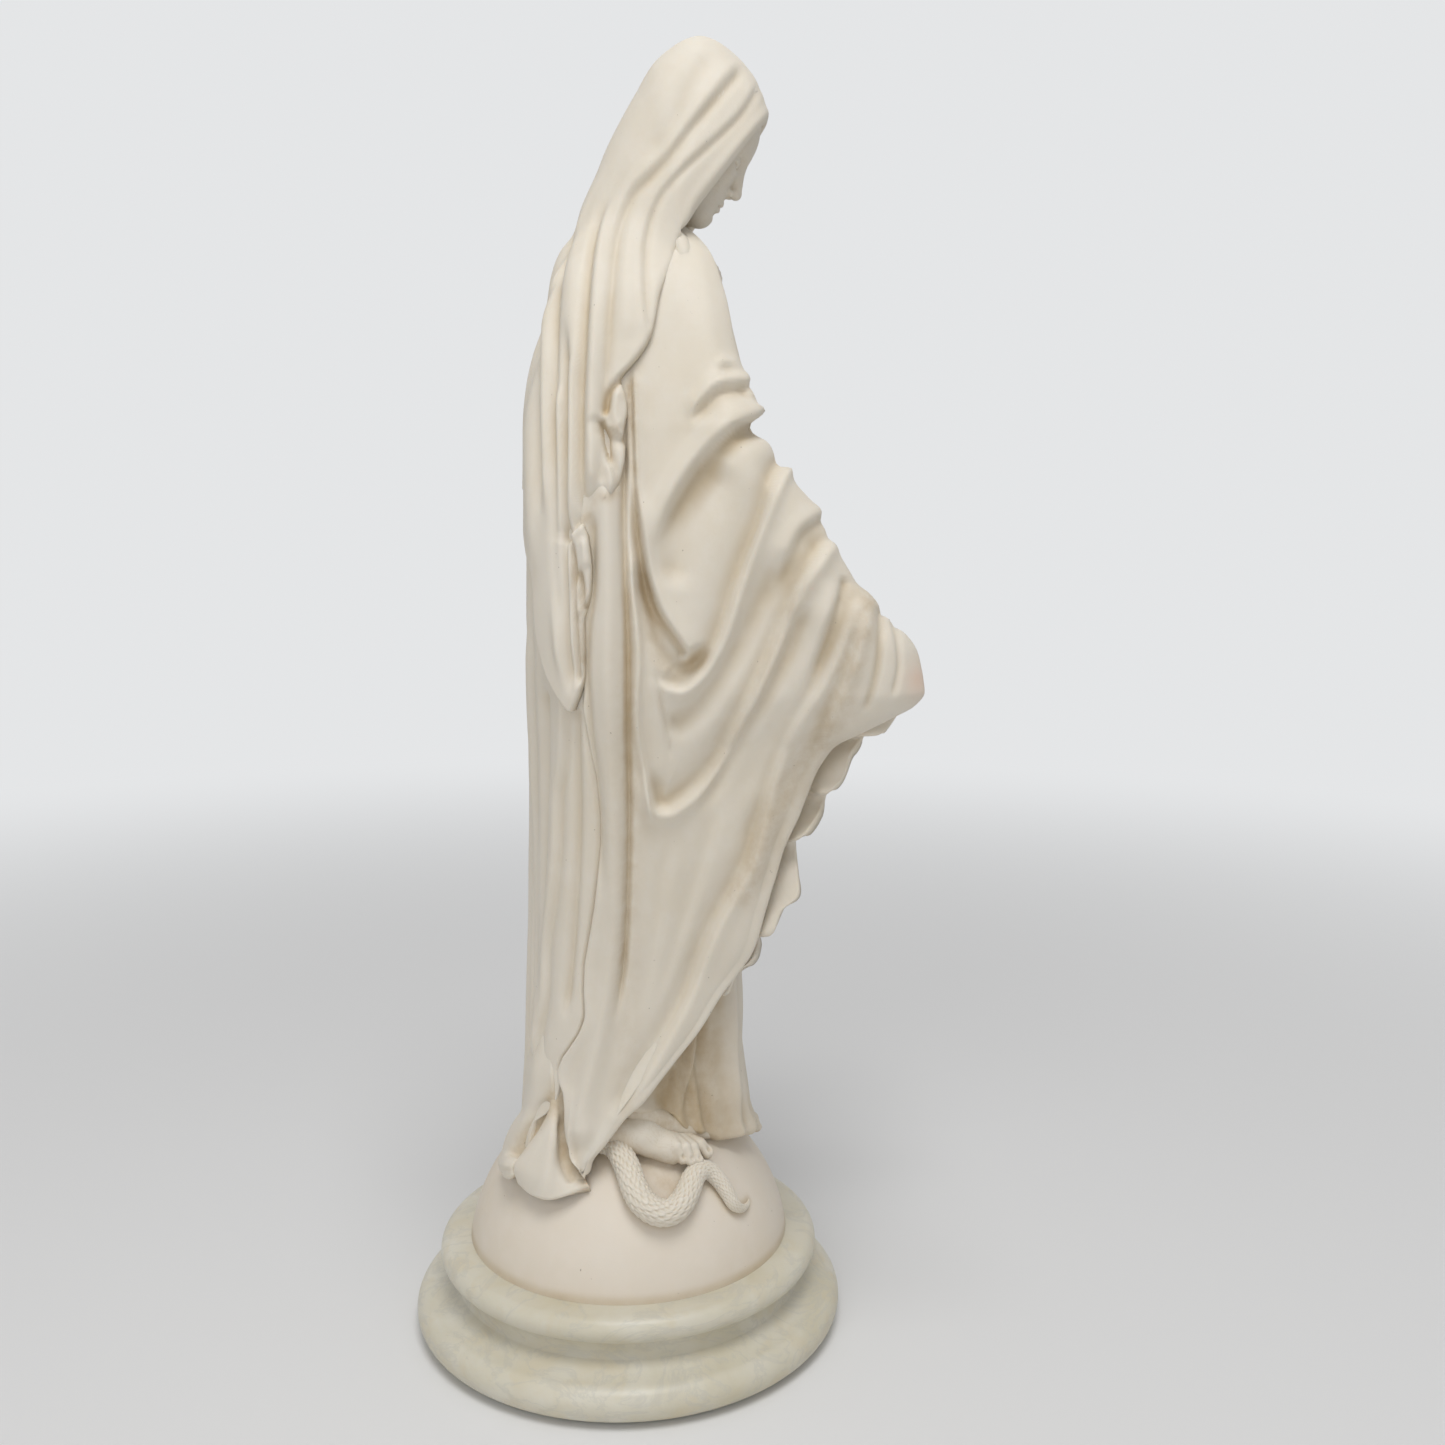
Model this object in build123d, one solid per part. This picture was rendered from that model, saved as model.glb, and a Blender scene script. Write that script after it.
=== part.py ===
"""Cast-marble statue of a robed, veiled woman on a half globe, bolted to a turned alabaster plinth.

Millimetres. +Z is up, the figure faces -Y, its right hand is on the -X side.
The origin is the centre of the felt underside, where the statue rests.
"""

import math
import os

from build123d import *

os.makedirs("parts", exist_ok=True)

# ---- plinth, turned from one block of alabaster ----
plinth_radius = 87.5
foot_torus_height = 17.0
foot_fillet_radius = 79.0
cove_radius = 70.5
cove_height = 8.0
collar_radius = 77.3
collar_height = 12.0
collar_lip_drop = 1.0
felt_thickness = 1.5
felt_margin = 7.0
felt_recess_depth = 0.5

# ---- centre fastening ----
rod_diameter = 8.0
rod_clearance = 0.4
nut_width = 13.0
nut_height = 6.5
washer_diameter = 24.0
washer_thickness = 2.0
nut_pocket_diameter = 28.0
nut_pocket_depth = 13.0
rod_tail = 1.5
rod_anchor_depth = 62.0

# ---- half globe ----
globe_radius = 66.0
globe_sink = 10.5
spigot_radius = 22.0
spigot_depth = 4.0
spigot_clearance = 0.3

# ---- figure, heights measured up from the top of the globe ----
figure_height = 413.5
head_height = 55.0
head_width = 37.0
head_depth = 45.0
head_tilt = 33.0
head_centre_height = 376.5
head_forward = 31.0
neck_radius = 11.5
neck_seat_height = 327.0
neck_base_forward = 12.0
dowel_diameter = 6.0
dowel_length = 24.0

# ---- arms ----
shoulder_half_width = 36.0
wrist_half_width = 57.0
wrist_forward = 74.0
wrist_height = 190.0
elbow_height = 233.0
elbow_forward = 24.0
elbow_half_width = 54.0
wrist_inset = 6.0
cuff_radius = 10.5
cuff_length = 14.0
hand_length = 42.0
palm_width = 19.0
palm_thickness = 8.0
finger_radius = 2.5
pin_diameter = 3.0
pin_length = 22.0

# ---- garments ----
mantle_front = 4.0
girdle_height = 252.0
girdle_width = 11.0
girdle_thickness = 2.2
seat_clearance = 0.1
gown_waist_forward = -9.0
gown_waist_half_width = 29.0
gown_waist_half_depth = 26.0

# ---- feet and serpent ----
foot_length = 58.0
foot_width = 20.0
foot_height = 13.0
serpent_radius = 4.4
serpent_sink = 1.0
serpent_head_swell = 1.35
tail_tip_radius = 1.4

# ---- levels that follow from the sizes above ----
plinth_bottom = felt_thickness - felt_recess_depth
foot_top = plinth_bottom + foot_torus_height
collar_bottom = foot_top + cove_height
plinth_top = collar_bottom + collar_height
globe_centre = plinth_top - globe_sink
globe_top = globe_centre + globe_radius


def above_globe(height):
    """A level of the figure, from its height over the top of the globe."""
    return globe_top + height


def write(name, shape):
    """One STEP file for one node, named after it."""
    shape.label = name
    export_step(shape, f"parts/{name}.step")


def solid_of(shape):
    """The largest solid of a boolean result, without the slivers a cut can leave."""
    return max(shape.solids(), key=lambda s: s.volume)


def ellipse_loft(sections, ruled=False):
    """A closed body through level ellipses: (height over globe, centre x, centre y, half width, half depth)."""
    faces = []
    for height, cx, cy, half_width, half_depth in sections:
        place = Plane(origin=(cx, cy, above_globe(height)), x_dir=(1, 0, 0), z_dir=(0, 0, 1))
        faces.append(place * Ellipse(half_width, half_depth))
    return loft(faces, ruled=ruled)


def rod_at(start, end, radius):
    """A straight round bar between two points."""
    a, b = Vector(*start), Vector(*end)
    return Plane(origin=a, z_dir=(b - a)) * Cylinder(
        radius, (b - a).length, align=(Align.CENTER, Align.CENTER, Align.MIN)
    )


def taper_at(start, end, start_radius, end_radius):
    """A straight cone frustum between two points, or a bar if both ends are alike."""
    if abs(start_radius - end_radius) < 1e-3:
        return rod_at(start, end, start_radius)
    a, b = Vector(*start), Vector(*end)
    return Plane(origin=a, z_dir=(b - a)) * Cone(
        start_radius, end_radius, (b - a).length, align=(Align.CENTER, Align.CENTER, Align.MIN)
    )


def upright(radius, bottom, top):
    """A cylinder on the statue's axis between two levels."""
    return Pos(0, 0, bottom) * Cylinder(radius, top - bottom, align=(Align.CENTER, Align.CENTER, Align.MIN))


# ---- plinth: foot torus, cove and collar, bored for the rod ----
def make_plinth():
    foot_edge = plinth_radius - foot_torus_height * 0.38
    collar_mid = collar_bottom + collar_height * 0.45
    top_rim = collar_radius - collar_height * 0.5
    with BuildPart() as part:
        with BuildSketch(Plane.XZ):
            with BuildLine():
                a = (0, plinth_bottom)
                b = (foot_edge, plinth_bottom)
                c = (foot_fillet_radius + 1.5, foot_top - 1.5)
                Line(a, b)
                ThreePointArc(b, (plinth_radius, plinth_bottom + foot_torus_height * 0.5), c)
                d = (foot_fillet_radius, foot_top)
                Polyline(c, (foot_fillet_radius + 1.5, foot_top), d)
                e = (cove_radius + 3.0, collar_bottom)
                ThreePointArc(d, (cove_radius, foot_top + cove_height * 0.62), e)
                f = (cove_radius + 3.0, collar_bottom + collar_lip_drop)
                g = (cove_radius + 4.5, collar_bottom + collar_lip_drop)
                Polyline(e, f, g)
                h = (top_rim, plinth_top)
                ThreePointArc(g, (collar_radius, collar_mid), h)
                Polyline(h, (0, plinth_top), a)
            make_face()
        revolve(axis=Axis.Z)
    plinth = part.part
    felt_radius = plinth_radius - felt_margin
    plinth -= upright(felt_radius + spigot_clearance, plinth_bottom - 1, plinth_bottom + felt_recess_depth)
    plinth -= upright(nut_pocket_diameter / 2, plinth_bottom - 1, felt_thickness + nut_pocket_depth)
    plinth -= upright(rod_diameter / 2 + rod_clearance, 0, plinth_top + 1)
    plinth -= upright(spigot_radius + spigot_clearance, plinth_top - spigot_depth - spigot_clearance, plinth_top + 1)
    return solid_of(plinth)


# ---- felt disc under the plinth ----
def make_felt():
    return upright(plinth_radius - felt_margin, 0, felt_thickness)


# ---- half globe with its locating spigot, cast round the rod ----
def make_globe():
    ball = Pos(0, 0, globe_centre) * Sphere(globe_radius)
    below = Pos(0, 0, plinth_top) * Box(
        3 * globe_radius, 3 * globe_radius, 3 * globe_radius, align=(Align.CENTER, Align.CENTER, Align.MAX)
    )
    globe = ball - below
    globe += upright(spigot_radius, plinth_top - spigot_depth, plinth_top + 1)
    globe -= upright(rod_diameter / 2, plinth_top - spigot_depth - 1, globe_top + 1)
    return solid_of(globe)


rod_bottom = felt_thickness + nut_pocket_depth - washer_thickness - nut_height - rod_tail
rod_top = globe_top + rod_anchor_depth
nut_seat = felt_thickness + nut_pocket_depth - washer_thickness


def make_rod():
    return upright(rod_diameter / 2, rod_bottom, rod_top)


def hex_nut(bottom):
    face = RegularPolygon(nut_width / 2, 6, major_radius=False)
    nut = extrude(Pos(0, 0, bottom) * face, nut_height)
    rounding = Pos(0, 0, bottom + nut_height / 2) * Sphere(nut_width * 0.62)
    nut = nut & rounding
    return solid_of(nut - upright(rod_diameter / 2, bottom - 1, bottom + nut_height + 1))


def make_washer():
    ring = upright(washer_diameter / 2, nut_seat, nut_seat + washer_thickness)
    return solid_of(ring - upright(rod_diameter / 2 + rod_clearance, nut_seat - 1, nut_seat + washer_thickness + 1))


# ---- the gown: the solid core of the figure, waisted at the girdle ----
def between(low, high, share):
    """A level a share of the way from one level to another."""
    return low + (high - low) * share


gown_sections = [
    (-34, 0, -2, 46, 44),
    (-12, 0, -3, 44, 43),
    (between(0, girdle_height, 0.16), 0, -5, 39, 40),
    (between(0, girdle_height, 0.44), 0, -6, 37, 37),
    (between(0, girdle_height, 0.69), 0, -7, 39, 35),
    (between(0, girdle_height, 0.89), 0, -8, 34, 29),
    (girdle_height, 0, gown_waist_forward, gown_waist_half_width, gown_waist_half_depth),
    (between(girdle_height, neck_seat_height, 0.44), 0, -11, 35, 31),
    (between(girdle_height, neck_seat_height, 0.75), 0, -11, 35, 28),
    (neck_seat_height - 3, 0, -neck_base_forward + 1, 22, 20),
    (neck_seat_height + 7, 0, -neck_base_forward - 1, 15, 15),
]

# ---- the mantle's back, shoulders to globe ----
mantle_sections = [
    (-44, 0, 0, 56, 55),
    (-15, 0, 0, 52, 48),
    (20, 0, 0, 50, 44),
    (60, 0, 0, 51, 41),
    (110, 0, 0, 53, 38),
    (170, 0, 0, 54, 37),
    (210, 0, 0, 54, 37),
    (250, 0, 0, 53, 37),
    (285, 0, 0, 51, 35),
    (308, 0, -1, 47, 31),
    (322, 0, -3, 37, 26),
    (332, 0, -5, 22, 19),
]


# ---- the mantle where it falls over an arm: (height, front edge, back edge, half thickness) ----
wing_levels = [
    (between(0, wrist_height, 0.085), -14, 26, 5.0),
    (between(0, wrist_height, 0.21), -32, 25, 6.0),
    (between(0, wrist_height, 0.36), -45, 22, 6.5),
    (between(0, wrist_height, 0.485), -58, 20, 7.0),
    (between(0, wrist_height, 0.66), -68, 18, 8.0),
    (between(0, wrist_height, 0.77), -82, 16, 9.5),
    (between(0, wrist_height, 0.84), -97, 14, 11.5),
    (between(0, wrist_height, 0.92), -106, 13, 13.0),
    (wrist_height, -101, 12, 13.0),
    (between(wrist_height, neck_seat_height, 0.16), -80, 12, 13.0),
    (between(wrist_height, neck_seat_height, 0.38), -60, 12, 13.0),
    (between(wrist_height, neck_seat_height, 0.55), -51, 12, 12.5),
    (between(wrist_height, neck_seat_height, 0.72), -44, 12, 11.0),
    (between(wrist_height, neck_seat_height, 0.86), -34, 10, 9.0),
    (neck_seat_height - 3, -24, 8, 5.0),
]
wing_half_width_low = 50.0


def wing_centre(height):
    """Sideways place of the arm's cloth: widest at the wrist, in at the shoulder and at the hem."""
    if height >= wrist_height:
        share = (height - wrist_height) / (wing_levels[-1][0] - wrist_height)
        return wrist_half_width + (shoulder_half_width - wrist_half_width) * share**1.6
    share = (wrist_height - height) / (wrist_height - wing_levels[0][0])
    return wrist_half_width + (wing_half_width_low - wrist_half_width) * share


def make_wing(side):
    sections = []
    for height, front, back, half_thickness in wing_levels:
        sections.append(
            (height, side * wing_centre(height), (front + back) / 2, half_thickness, (back - front) / 2)
        )
    return ellipse_loft(sections)


# ---- the veil, crown of the head to its hem at the back of the knees ----
veil_sections = [
    (170, 0, 1, 57, 39),
    (205, 0, 2, 58, 40),
    (245, 0, 2, 57, 40),
    (278, 0, 1, 55, 40),
    (305, 0, -2, 51, 38),
    (324, 0, -2, 42, 34),
    (336, 0, -3, 35, 30),
    (346, 0, -8, 30, 29),
    (358, 0, -15, 27, 29),
    (370, 0, -21, 25.5, 30),
    (381, 0, -25, 24, 29),
    (391, 0, -28, 22, 25.5),
    (402, 0, -28, 17, 19),
    (figure_height, 0, -28, 8, 7),
]


head_plane = Plane(
    origin=(0, -head_forward, above_globe(head_centre_height)),
    x_dir=(1, 0, 0),
    z_dir=(0, -math.sin(math.radians(head_tilt)), math.cos(math.radians(head_tilt))),
)


def egg(half_width, half_depth, half_height):
    """An upright ellipsoid, revolved round and then squeezed in depth."""
    profile = Plane.XZ * (Ellipse(half_width, half_height) & Pos(half_width / 2, 0) * Rectangle(half_width, 2 * half_height))
    body = revolve(profile, axis=Axis.Z)
    return scale(body, by=(1, half_depth / half_width, 1))


def make_head():
    skull = head_plane * egg(head_width / 2, head_depth / 2, head_height / 2)
    neck = taper_at(
        (0, -neck_base_forward, above_globe(neck_seat_height)),
        (0, -head_forward + 6, above_globe(head_centre_height - 8)),
        neck_radius,
        neck_radius * 0.9,
    )
    nose = head_plane * (Pos(0, -head_depth / 2 + 1, -head_height * 0.1) * Sphere(head_height * 0.06))
    return solid_of(skull + neck + nose)


neck_axis_start = Vector(0, -neck_base_forward, above_globe(neck_seat_height))
neck_axis = (Vector(0, -head_forward + 6, above_globe(head_centre_height - 8)) - neck_axis_start).normalized()


def make_dowel():
    start = neck_axis_start - neck_axis * (dowel_length / 2)
    end = neck_axis_start + neck_axis * (dowel_length / 2)
    return rod_at(tuple(start), tuple(end), dowel_diameter / 2)


# ---- hands, held low and open, each on a steel pin ----
def arm_direction(side):
    elbow = Vector(side * elbow_half_width, -elbow_forward, above_globe(elbow_height))
    wrist = Vector(side * (wrist_half_width - wrist_inset), -wrist_forward, above_globe(wrist_height))
    return wrist, (wrist - elbow).normalized()


def hand_plane(side):
    """The hand's own plane: Z along the fingers, Y out of the palm."""
    wrist, _ = arm_direction(side)
    fingers = Vector(-side * 0.55, -0.45, -0.70).normalized()
    return Plane(origin=wrist, x_dir=Vector(1, 0, 0) - fingers * fingers.X, z_dir=fingers)


def make_hand(side):
    place = hand_plane(side)
    palm_length = hand_length * 0.5
    palm = place * Pos(0, 0, palm_length / 2) * egg(palm_width / 2, palm_thickness / 2, palm_length / 2 + 3)
    hand = palm
    spread = palm_width - 2 * finger_radius
    for index in range(4):
        across = -spread / 2 + spread * index / 3
        length = hand_length * (0.44, 0.5, 0.47, 0.38)[index if side > 0 else 3 - index]
        tip = (across * 1.25, 0, palm_length + length)
        hand += place * taper_at((across, 0, palm_length * 0.7), tip, finger_radius, finger_radius * 0.75)
        hand += place * Pos(*tip) * Sphere(finger_radius * 0.75)
    thumb_root = (-side * palm_width * 0.35, 0, palm_length * 0.3)
    thumb_tip = (-side * palm_width * 0.8, -3, palm_length * 1.0)
    hand += place * taper_at(thumb_root, thumb_tip, finger_radius * 1.2, finger_radius * 0.9)
    hand += place * Pos(*thumb_tip) * Sphere(finger_radius * 0.9)
    return hand


def make_cuff(side):
    wrist, along = arm_direction(side)
    start = wrist - along * (cuff_length * 0.8)
    end = wrist + along * (cuff_length * 0.2)
    return taper_at(tuple(start), tuple(end), cuff_radius * 0.9, cuff_radius)


def make_pin(side):
    wrist, along = arm_direction(side)
    return rod_at(tuple(wrist - along * pin_length * 0.6), tuple(wrist + along * pin_length * 0.4), pin_diameter / 2)


# ---- feet: bare, one showing on the right, toes of the other in front ----
def on_globe(bearing, from_top, lift=0.0):
    """A point over the globe: bearing in degrees round +Z from the front, angle down from the top."""
    down = math.radians(from_top)
    turn = math.radians(bearing)
    reach = globe_radius + lift
    return Vector(
        reach * math.sin(down) * math.sin(turn),
        -reach * math.sin(down) * math.cos(turn),
        globe_centre + reach * math.cos(down),
    )


def make_foot(heel, toe):
    """A foot lying on the globe from heel to toe, with five toes."""
    along = (toe - heel).normalized()
    up = ((heel + toe) * 0.5 - Vector(0, 0, globe_centre)).normalized()
    across = along.cross(up).normalized()
    place = Plane(origin=heel, x_dir=across, z_dir=along)
    sole = place * Pos(0, 0, foot_length * 0.38) * egg(foot_width / 2, foot_height / 2, foot_length * 0.42)
    foot = sole
    for index in range(5):
        offset = -foot_width * 0.38 + foot_width * 0.19 * index
        reach = foot_length * (0.95 - 0.012 * index * index)
        radius = foot_width * (0.14 - 0.014 * index)
        start = (offset * 0.9, 0, foot_length * 0.6)
        foot += place * taper_at(start, (offset, 0, reach - radius), radius, radius)
        foot += place * Pos(offset, 0, reach - radius) * Sphere(radius)
    return foot


right_heel = on_globe(-118, 27, 7)
right_toe = on_globe(-50, 40, 6)
left_heel = on_globe(40, 18, 3)
left_toe = on_globe(24, 56, 2)

# ---- serpent, wound over the globe under the feet, head to tail: (bearing, angle down from the top) ----
serpent_route = [
    (64, 57),
    (72, 43),
    (95, 27),
    (150, 17),
    (-150, 25),
    (-125, 36),
    (-106, 41),
    (-95, 44),
    (-88, 50),
    (-79, 56),
    (-72, 55.5),
    (-62, 51),
    (-53, 50),
    (-47.5, 54),
    (-43, 58.5),
    (-35, 60),
]
tail_joints = 4


def make_serpent():
    """Bars and balls along the route, of even thickness up to the last joints, where the tail tapers."""
    lift = serpent_radius - serpent_sink
    points = [on_globe(bearing, from_top, lift) for bearing, from_top in serpent_route]
    radii = [serpent_radius] * len(points)
    for joint in range(tail_joints):
        radii[-1 - joint] = between(tail_tip_radius, serpent_radius, joint / tail_joints)
    body = Pos(*points[0]) * Sphere(serpent_radius * serpent_head_swell)
    for index in range(1, len(points)):
        body += taper_at(tuple(points[index - 1]), tuple(points[index]), radii[index - 1], radii[index])
        body += Pos(*points[index]) * Sphere(radii[index])
    return body


# ---- veil: its front edge, seen from the side (forward of the axis, height over the globe) ----
veil_edge = [
    (-60, 420),
    (-55, 388),
    (-46, 368),
    (-30, 345),
    (-19, 333),
    (-11, 315),
    (-6, 288),
    (2, 275),
    (3, 240),
    (14, 226),
    (18, 165),
    (18, 150),
]


def make_veil_front():
    """What lies in front of the veil's edge, as one block right across the figure."""
    outline = [(y, above_globe(height)) for y, height in veil_edge]
    with BuildPart() as part:
        with BuildSketch(Plane.YZ):
            with BuildLine():
                edge = Polyline(outline)
                Polyline(outline[-1], (-200, outline[-1][1]), (-200, outline[0][1]), outline[0])
            make_face()
        extrude(amount=150, both=True)
    return part.part


# ---- girdle: a flat sash round the waist, its knot in front ----
def make_girdle():
    lower, upper = girdle_height - girdle_width / 2, girdle_height + girdle_width / 2
    band = ellipse_loft([
        (lower, 0, gown_waist_forward, gown_waist_half_width + girdle_thickness, gown_waist_half_depth + girdle_thickness),
        (upper, 0, gown_waist_forward, gown_waist_half_width + girdle_thickness, gown_waist_half_depth + girdle_thickness),
    ])
    bare_gown = ellipse_loft([(z, x, y, a + seat_clearance, b + seat_clearance) for z, x, y, a, b in gown_sections])
    return band - bare_gown


def build():
    ball = Pos(0, 0, globe_centre) * Sphere(globe_radius)
    gown_full = ellipse_loft(gown_sections)
    dowel = make_dowel()
    rod = make_rod()
    anchor = hex_nut(rod_top - nut_height - 2)
    head = make_head()
    write("plinth", make_plinth())
    write("felt_pad", make_felt())
    write("globe", make_globe())
    write("centre_rod", rod)
    write("rod_nut", hex_nut(nut_seat - nut_height))
    write("rod_washer", make_washer())
    write("anchor_nut", anchor)
    write("neck_dowel", dowel)

    feet = {}
    for name, heel, toe in (("right", right_heel, right_toe), ("left", left_heel, left_toe)):
        feet[name] = solid_of(make_foot(heel, toe) - ball)
    serpent = solid_of(make_serpent() - ball - feet["right"] - feet["left"])
    gown = gown_full - ball - head - rod - anchor - dowel - feet["right"] - feet["left"] - serpent
    gown = solid_of(gown)
    write("serpent", serpent)
    write("gown", gown)
    write("head", solid_of(head - dowel))
    for name, foot in feet.items():
        write(f"{name}_foot", foot)

    girdle = make_girdle()
    mantle = ellipse_loft(mantle_sections) - Pos(0, mantle_front, above_globe(140)) * Box(
        300, 300, 600, align=(Align.CENTER, Align.MAX, Align.CENTER)
    )
    pins = []
    for side, name in ((-1, "right"), (1, "left")):
        hand = make_hand(side)
        cuff = make_cuff(side)
        pin = make_pin(side)
        mantle += make_wing(side)
        mantle = mantle - hand - cuff - pin
        write(f"{name}_cuff", solid_of(cuff - hand - pin))
        write(f"{name}_hand", solid_of(hand - pin))
        pins.append(pin)
    write("hand_pins", Compound(pins))
    mantle = mantle - gown_full - ball - head - serpent - feet["right"] - feet["left"]
    mantle = solid_of(mantle)
    write("mantle", mantle)
    write("girdle", solid_of(girdle - mantle))
    veil = ellipse_loft(veil_sections, ruled=True) - make_veil_front() - head - gown_full - mantle - girdle
    write("veil", solid_of(veil))


build()
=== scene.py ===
import math

import bmesh
import bpy
import numpy as np
import openvdb
from mathutils import Matrix, Vector


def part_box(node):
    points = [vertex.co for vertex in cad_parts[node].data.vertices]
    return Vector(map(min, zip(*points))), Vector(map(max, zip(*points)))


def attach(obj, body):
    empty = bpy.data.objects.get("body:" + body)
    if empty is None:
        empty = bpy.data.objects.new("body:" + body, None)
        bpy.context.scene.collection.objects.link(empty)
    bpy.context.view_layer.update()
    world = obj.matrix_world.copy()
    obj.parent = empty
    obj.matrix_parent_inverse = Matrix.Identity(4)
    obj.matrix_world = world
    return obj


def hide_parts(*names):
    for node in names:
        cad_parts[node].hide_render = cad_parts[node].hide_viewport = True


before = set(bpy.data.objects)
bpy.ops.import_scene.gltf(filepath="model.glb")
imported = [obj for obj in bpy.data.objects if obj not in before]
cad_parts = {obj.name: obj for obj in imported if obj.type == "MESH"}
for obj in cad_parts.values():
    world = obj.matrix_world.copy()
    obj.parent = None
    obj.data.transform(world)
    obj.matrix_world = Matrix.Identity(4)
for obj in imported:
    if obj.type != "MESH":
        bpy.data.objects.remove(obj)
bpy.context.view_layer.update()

# ======================================================================================
# Plinth: one block of ivory alabaster, turned to two rounds with a cove between them,
# and polished. The figure's rod is bolted from underneath.
# ======================================================================================
# Sizes are in millimetres; only meshes and shaders are in metres.
MM = 0.001


def lathe(name, outline, steps=192):
    """Spins an outline of (radius, height) in millimetres about the statue's axis."""
    bpy.ops.object.select_all(action="DESELECT")
    mesh = bpy.data.meshes.new(name)
    edges = [(i, i + 1) for i in range(len(outline) - 1)]
    mesh.from_pydata([(r * MM, 0, z * MM) for r, z in outline], edges, [])
    piece = bpy.data.objects.new(name, mesh)
    bpy.context.collection.objects.link(piece)
    bpy.context.view_layer.objects.active = piece
    piece.select_set(True)
    bpy.ops.object.mode_set(mode="EDIT")
    bpy.ops.mesh.select_all(action="SELECT")
    bpy.ops.mesh.spin(steps=steps, angle=2 * math.pi, center=(0, 0, 0), axis=(0, 0, 1))
    bpy.ops.mesh.select_all(action="SELECT")
    bpy.ops.mesh.remove_doubles(threshold=1e-6)
    bpy.ops.mesh.normals_make_consistent(inside=False)
    bpy.ops.object.mode_set(mode="OBJECT")
    bpy.ops.object.shade_smooth()
    return piece


def arc(centre, radius, start, end, steps=24, stretch=1.0):
    """Points round an arc, in degrees from the outward direction; stretch makes it an oval."""
    out = []
    for step in range(steps + 1):
        angle = math.radians(start + (end - start) * step / steps)
        rise = radius * stretch * math.sin(angle)
        out.append((centre[0] + radius * math.cos(angle), centre[1] + rise))
    return out


plinth_low, plinth_high = (corner.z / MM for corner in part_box("plinth"))
plinth_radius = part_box("plinth")[1].x / MM
foot_round, collar_round, cove_round = 7.1, 4.9, 12.6
collar_radius = plinth_radius - 10.0
foot_middle = plinth_low + foot_round + 0.2
plinth_top = plinth_high - 1.3
collar_middle = plinth_top - collar_round - 0.1
hollow_under, seat_sunk = 0.4, 0.6
plinth_outline = [(0.0, plinth_low + hollow_under), (plinth_radius - 13, plinth_low + hollow_under)]
plinth_outline += [(plinth_radius - 10, plinth_low)]
plinth_outline += arc((plinth_radius - foot_round, foot_middle), foot_round, -84, 84, 28)
plinth_outline += [(plinth_radius - foot_round - 0.9, foot_middle + foot_round + 0.35)]
plinth_outline += arc((plinth_radius - 4.6, foot_middle + 13.6), cove_round, 206, 161, 18, 0.62)
plinth_outline += [(collar_radius - 6.6, collar_middle - collar_round - 0.5)]
plinth_outline += arc((collar_radius - collar_round, collar_middle), collar_round, -82, 86, 24)
plinth_outline += [(64.0, plinth_top - 0.1), (58.0, plinth_top - seat_sunk), (0.0, plinth_top - seat_sunk)]


def set_dials(node, dials):
    """Sets a shader node's inputs by name."""
    for name, value in dials.items():
        node.inputs[name].default_value = value


def shader_nodes(name):
    """A new material, with its node tree and a joined-up Principled shader."""
    material = bpy.data.materials.new(name)
    material.use_nodes = True
    tree = material.node_tree
    tree.nodes.clear()
    out = tree.nodes.new("ShaderNodeOutputMaterial")
    surface = tree.nodes.new("ShaderNodeBsdfPrincipled")
    tree.links.new(surface.outputs["BSDF"], out.inputs["Surface"])
    return material, tree, surface


def noise(tree, scale, detail=4.0, roughness=0.55, stretch=(1, 1, 1), distortion=0.0):
    """A noise texture on Object coordinates; scale is in ripples per metre."""
    place = tree.nodes.new("ShaderNodeTexCoord")
    turn = tree.nodes.new("ShaderNodeMapping")
    turn.inputs["Scale"].default_value = stretch
    cloud = tree.nodes.new("ShaderNodeTexNoise")
    set_dials(cloud, {"Scale": scale, "Detail": detail, "Roughness": roughness, "Distortion": distortion})
    tree.links.new(place.outputs["Object"], turn.inputs["Vector"])
    tree.links.new(turn.outputs["Vector"], cloud.inputs["Vector"])
    return cloud.outputs["Fac"]


def ramp(tree, source, low, high, start=0.0, end=1.0):
    """Maps a grey source from low..high to start..end, clamped."""
    node = tree.nodes.new("ShaderNodeMapRange")
    set_dials(node, {"From Min": low, "From Max": high, "To Min": start, "To Max": end})
    tree.links.new(source, node.inputs["Value"])
    return node.outputs["Result"]


def tint(tree, base, colour, amount):
    """Lays a colour over a base, by a grey source."""
    node = tree.nodes.new("ShaderNodeMix")
    node.data_type = "RGBA"
    tree.links.new(amount, node.inputs["Factor"])
    for socket, value in ((6, base), (7, colour)):
        if isinstance(value, tuple):
            node.inputs[socket].default_value = (*value, 1)
        else:
            tree.links.new(value, node.inputs[socket])
    return node.outputs[2]


def maths(tree, operation, first, second, clamped=True):
    """One sum on two grey sources or numbers."""
    node = tree.nodes.new("ShaderNodeMath")
    node.operation, node.use_clamp = operation, clamped
    for socket, value in zip(node.inputs, (first, second)):
        if isinstance(value, (int, float)):
            socket.default_value = value
        else:
            tree.links.new(value, socket)
    return node.outputs[0]


def bumps(tree, surface, layers):
    """Chains bump nodes for (height source, strength, distance in metres)."""
    normal = None
    for source, strength, distance in layers:
        node = tree.nodes.new("ShaderNodeBump")
        set_dials(node, {"Strength": strength, "Distance": distance})
        tree.links.new(source, node.inputs["Height"])
        if normal is not None:
            tree.links.new(normal, node.inputs["Normal"])
        normal = node.outputs["Normal"]
    tree.links.new(normal, surface.inputs["Normal"])


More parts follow.
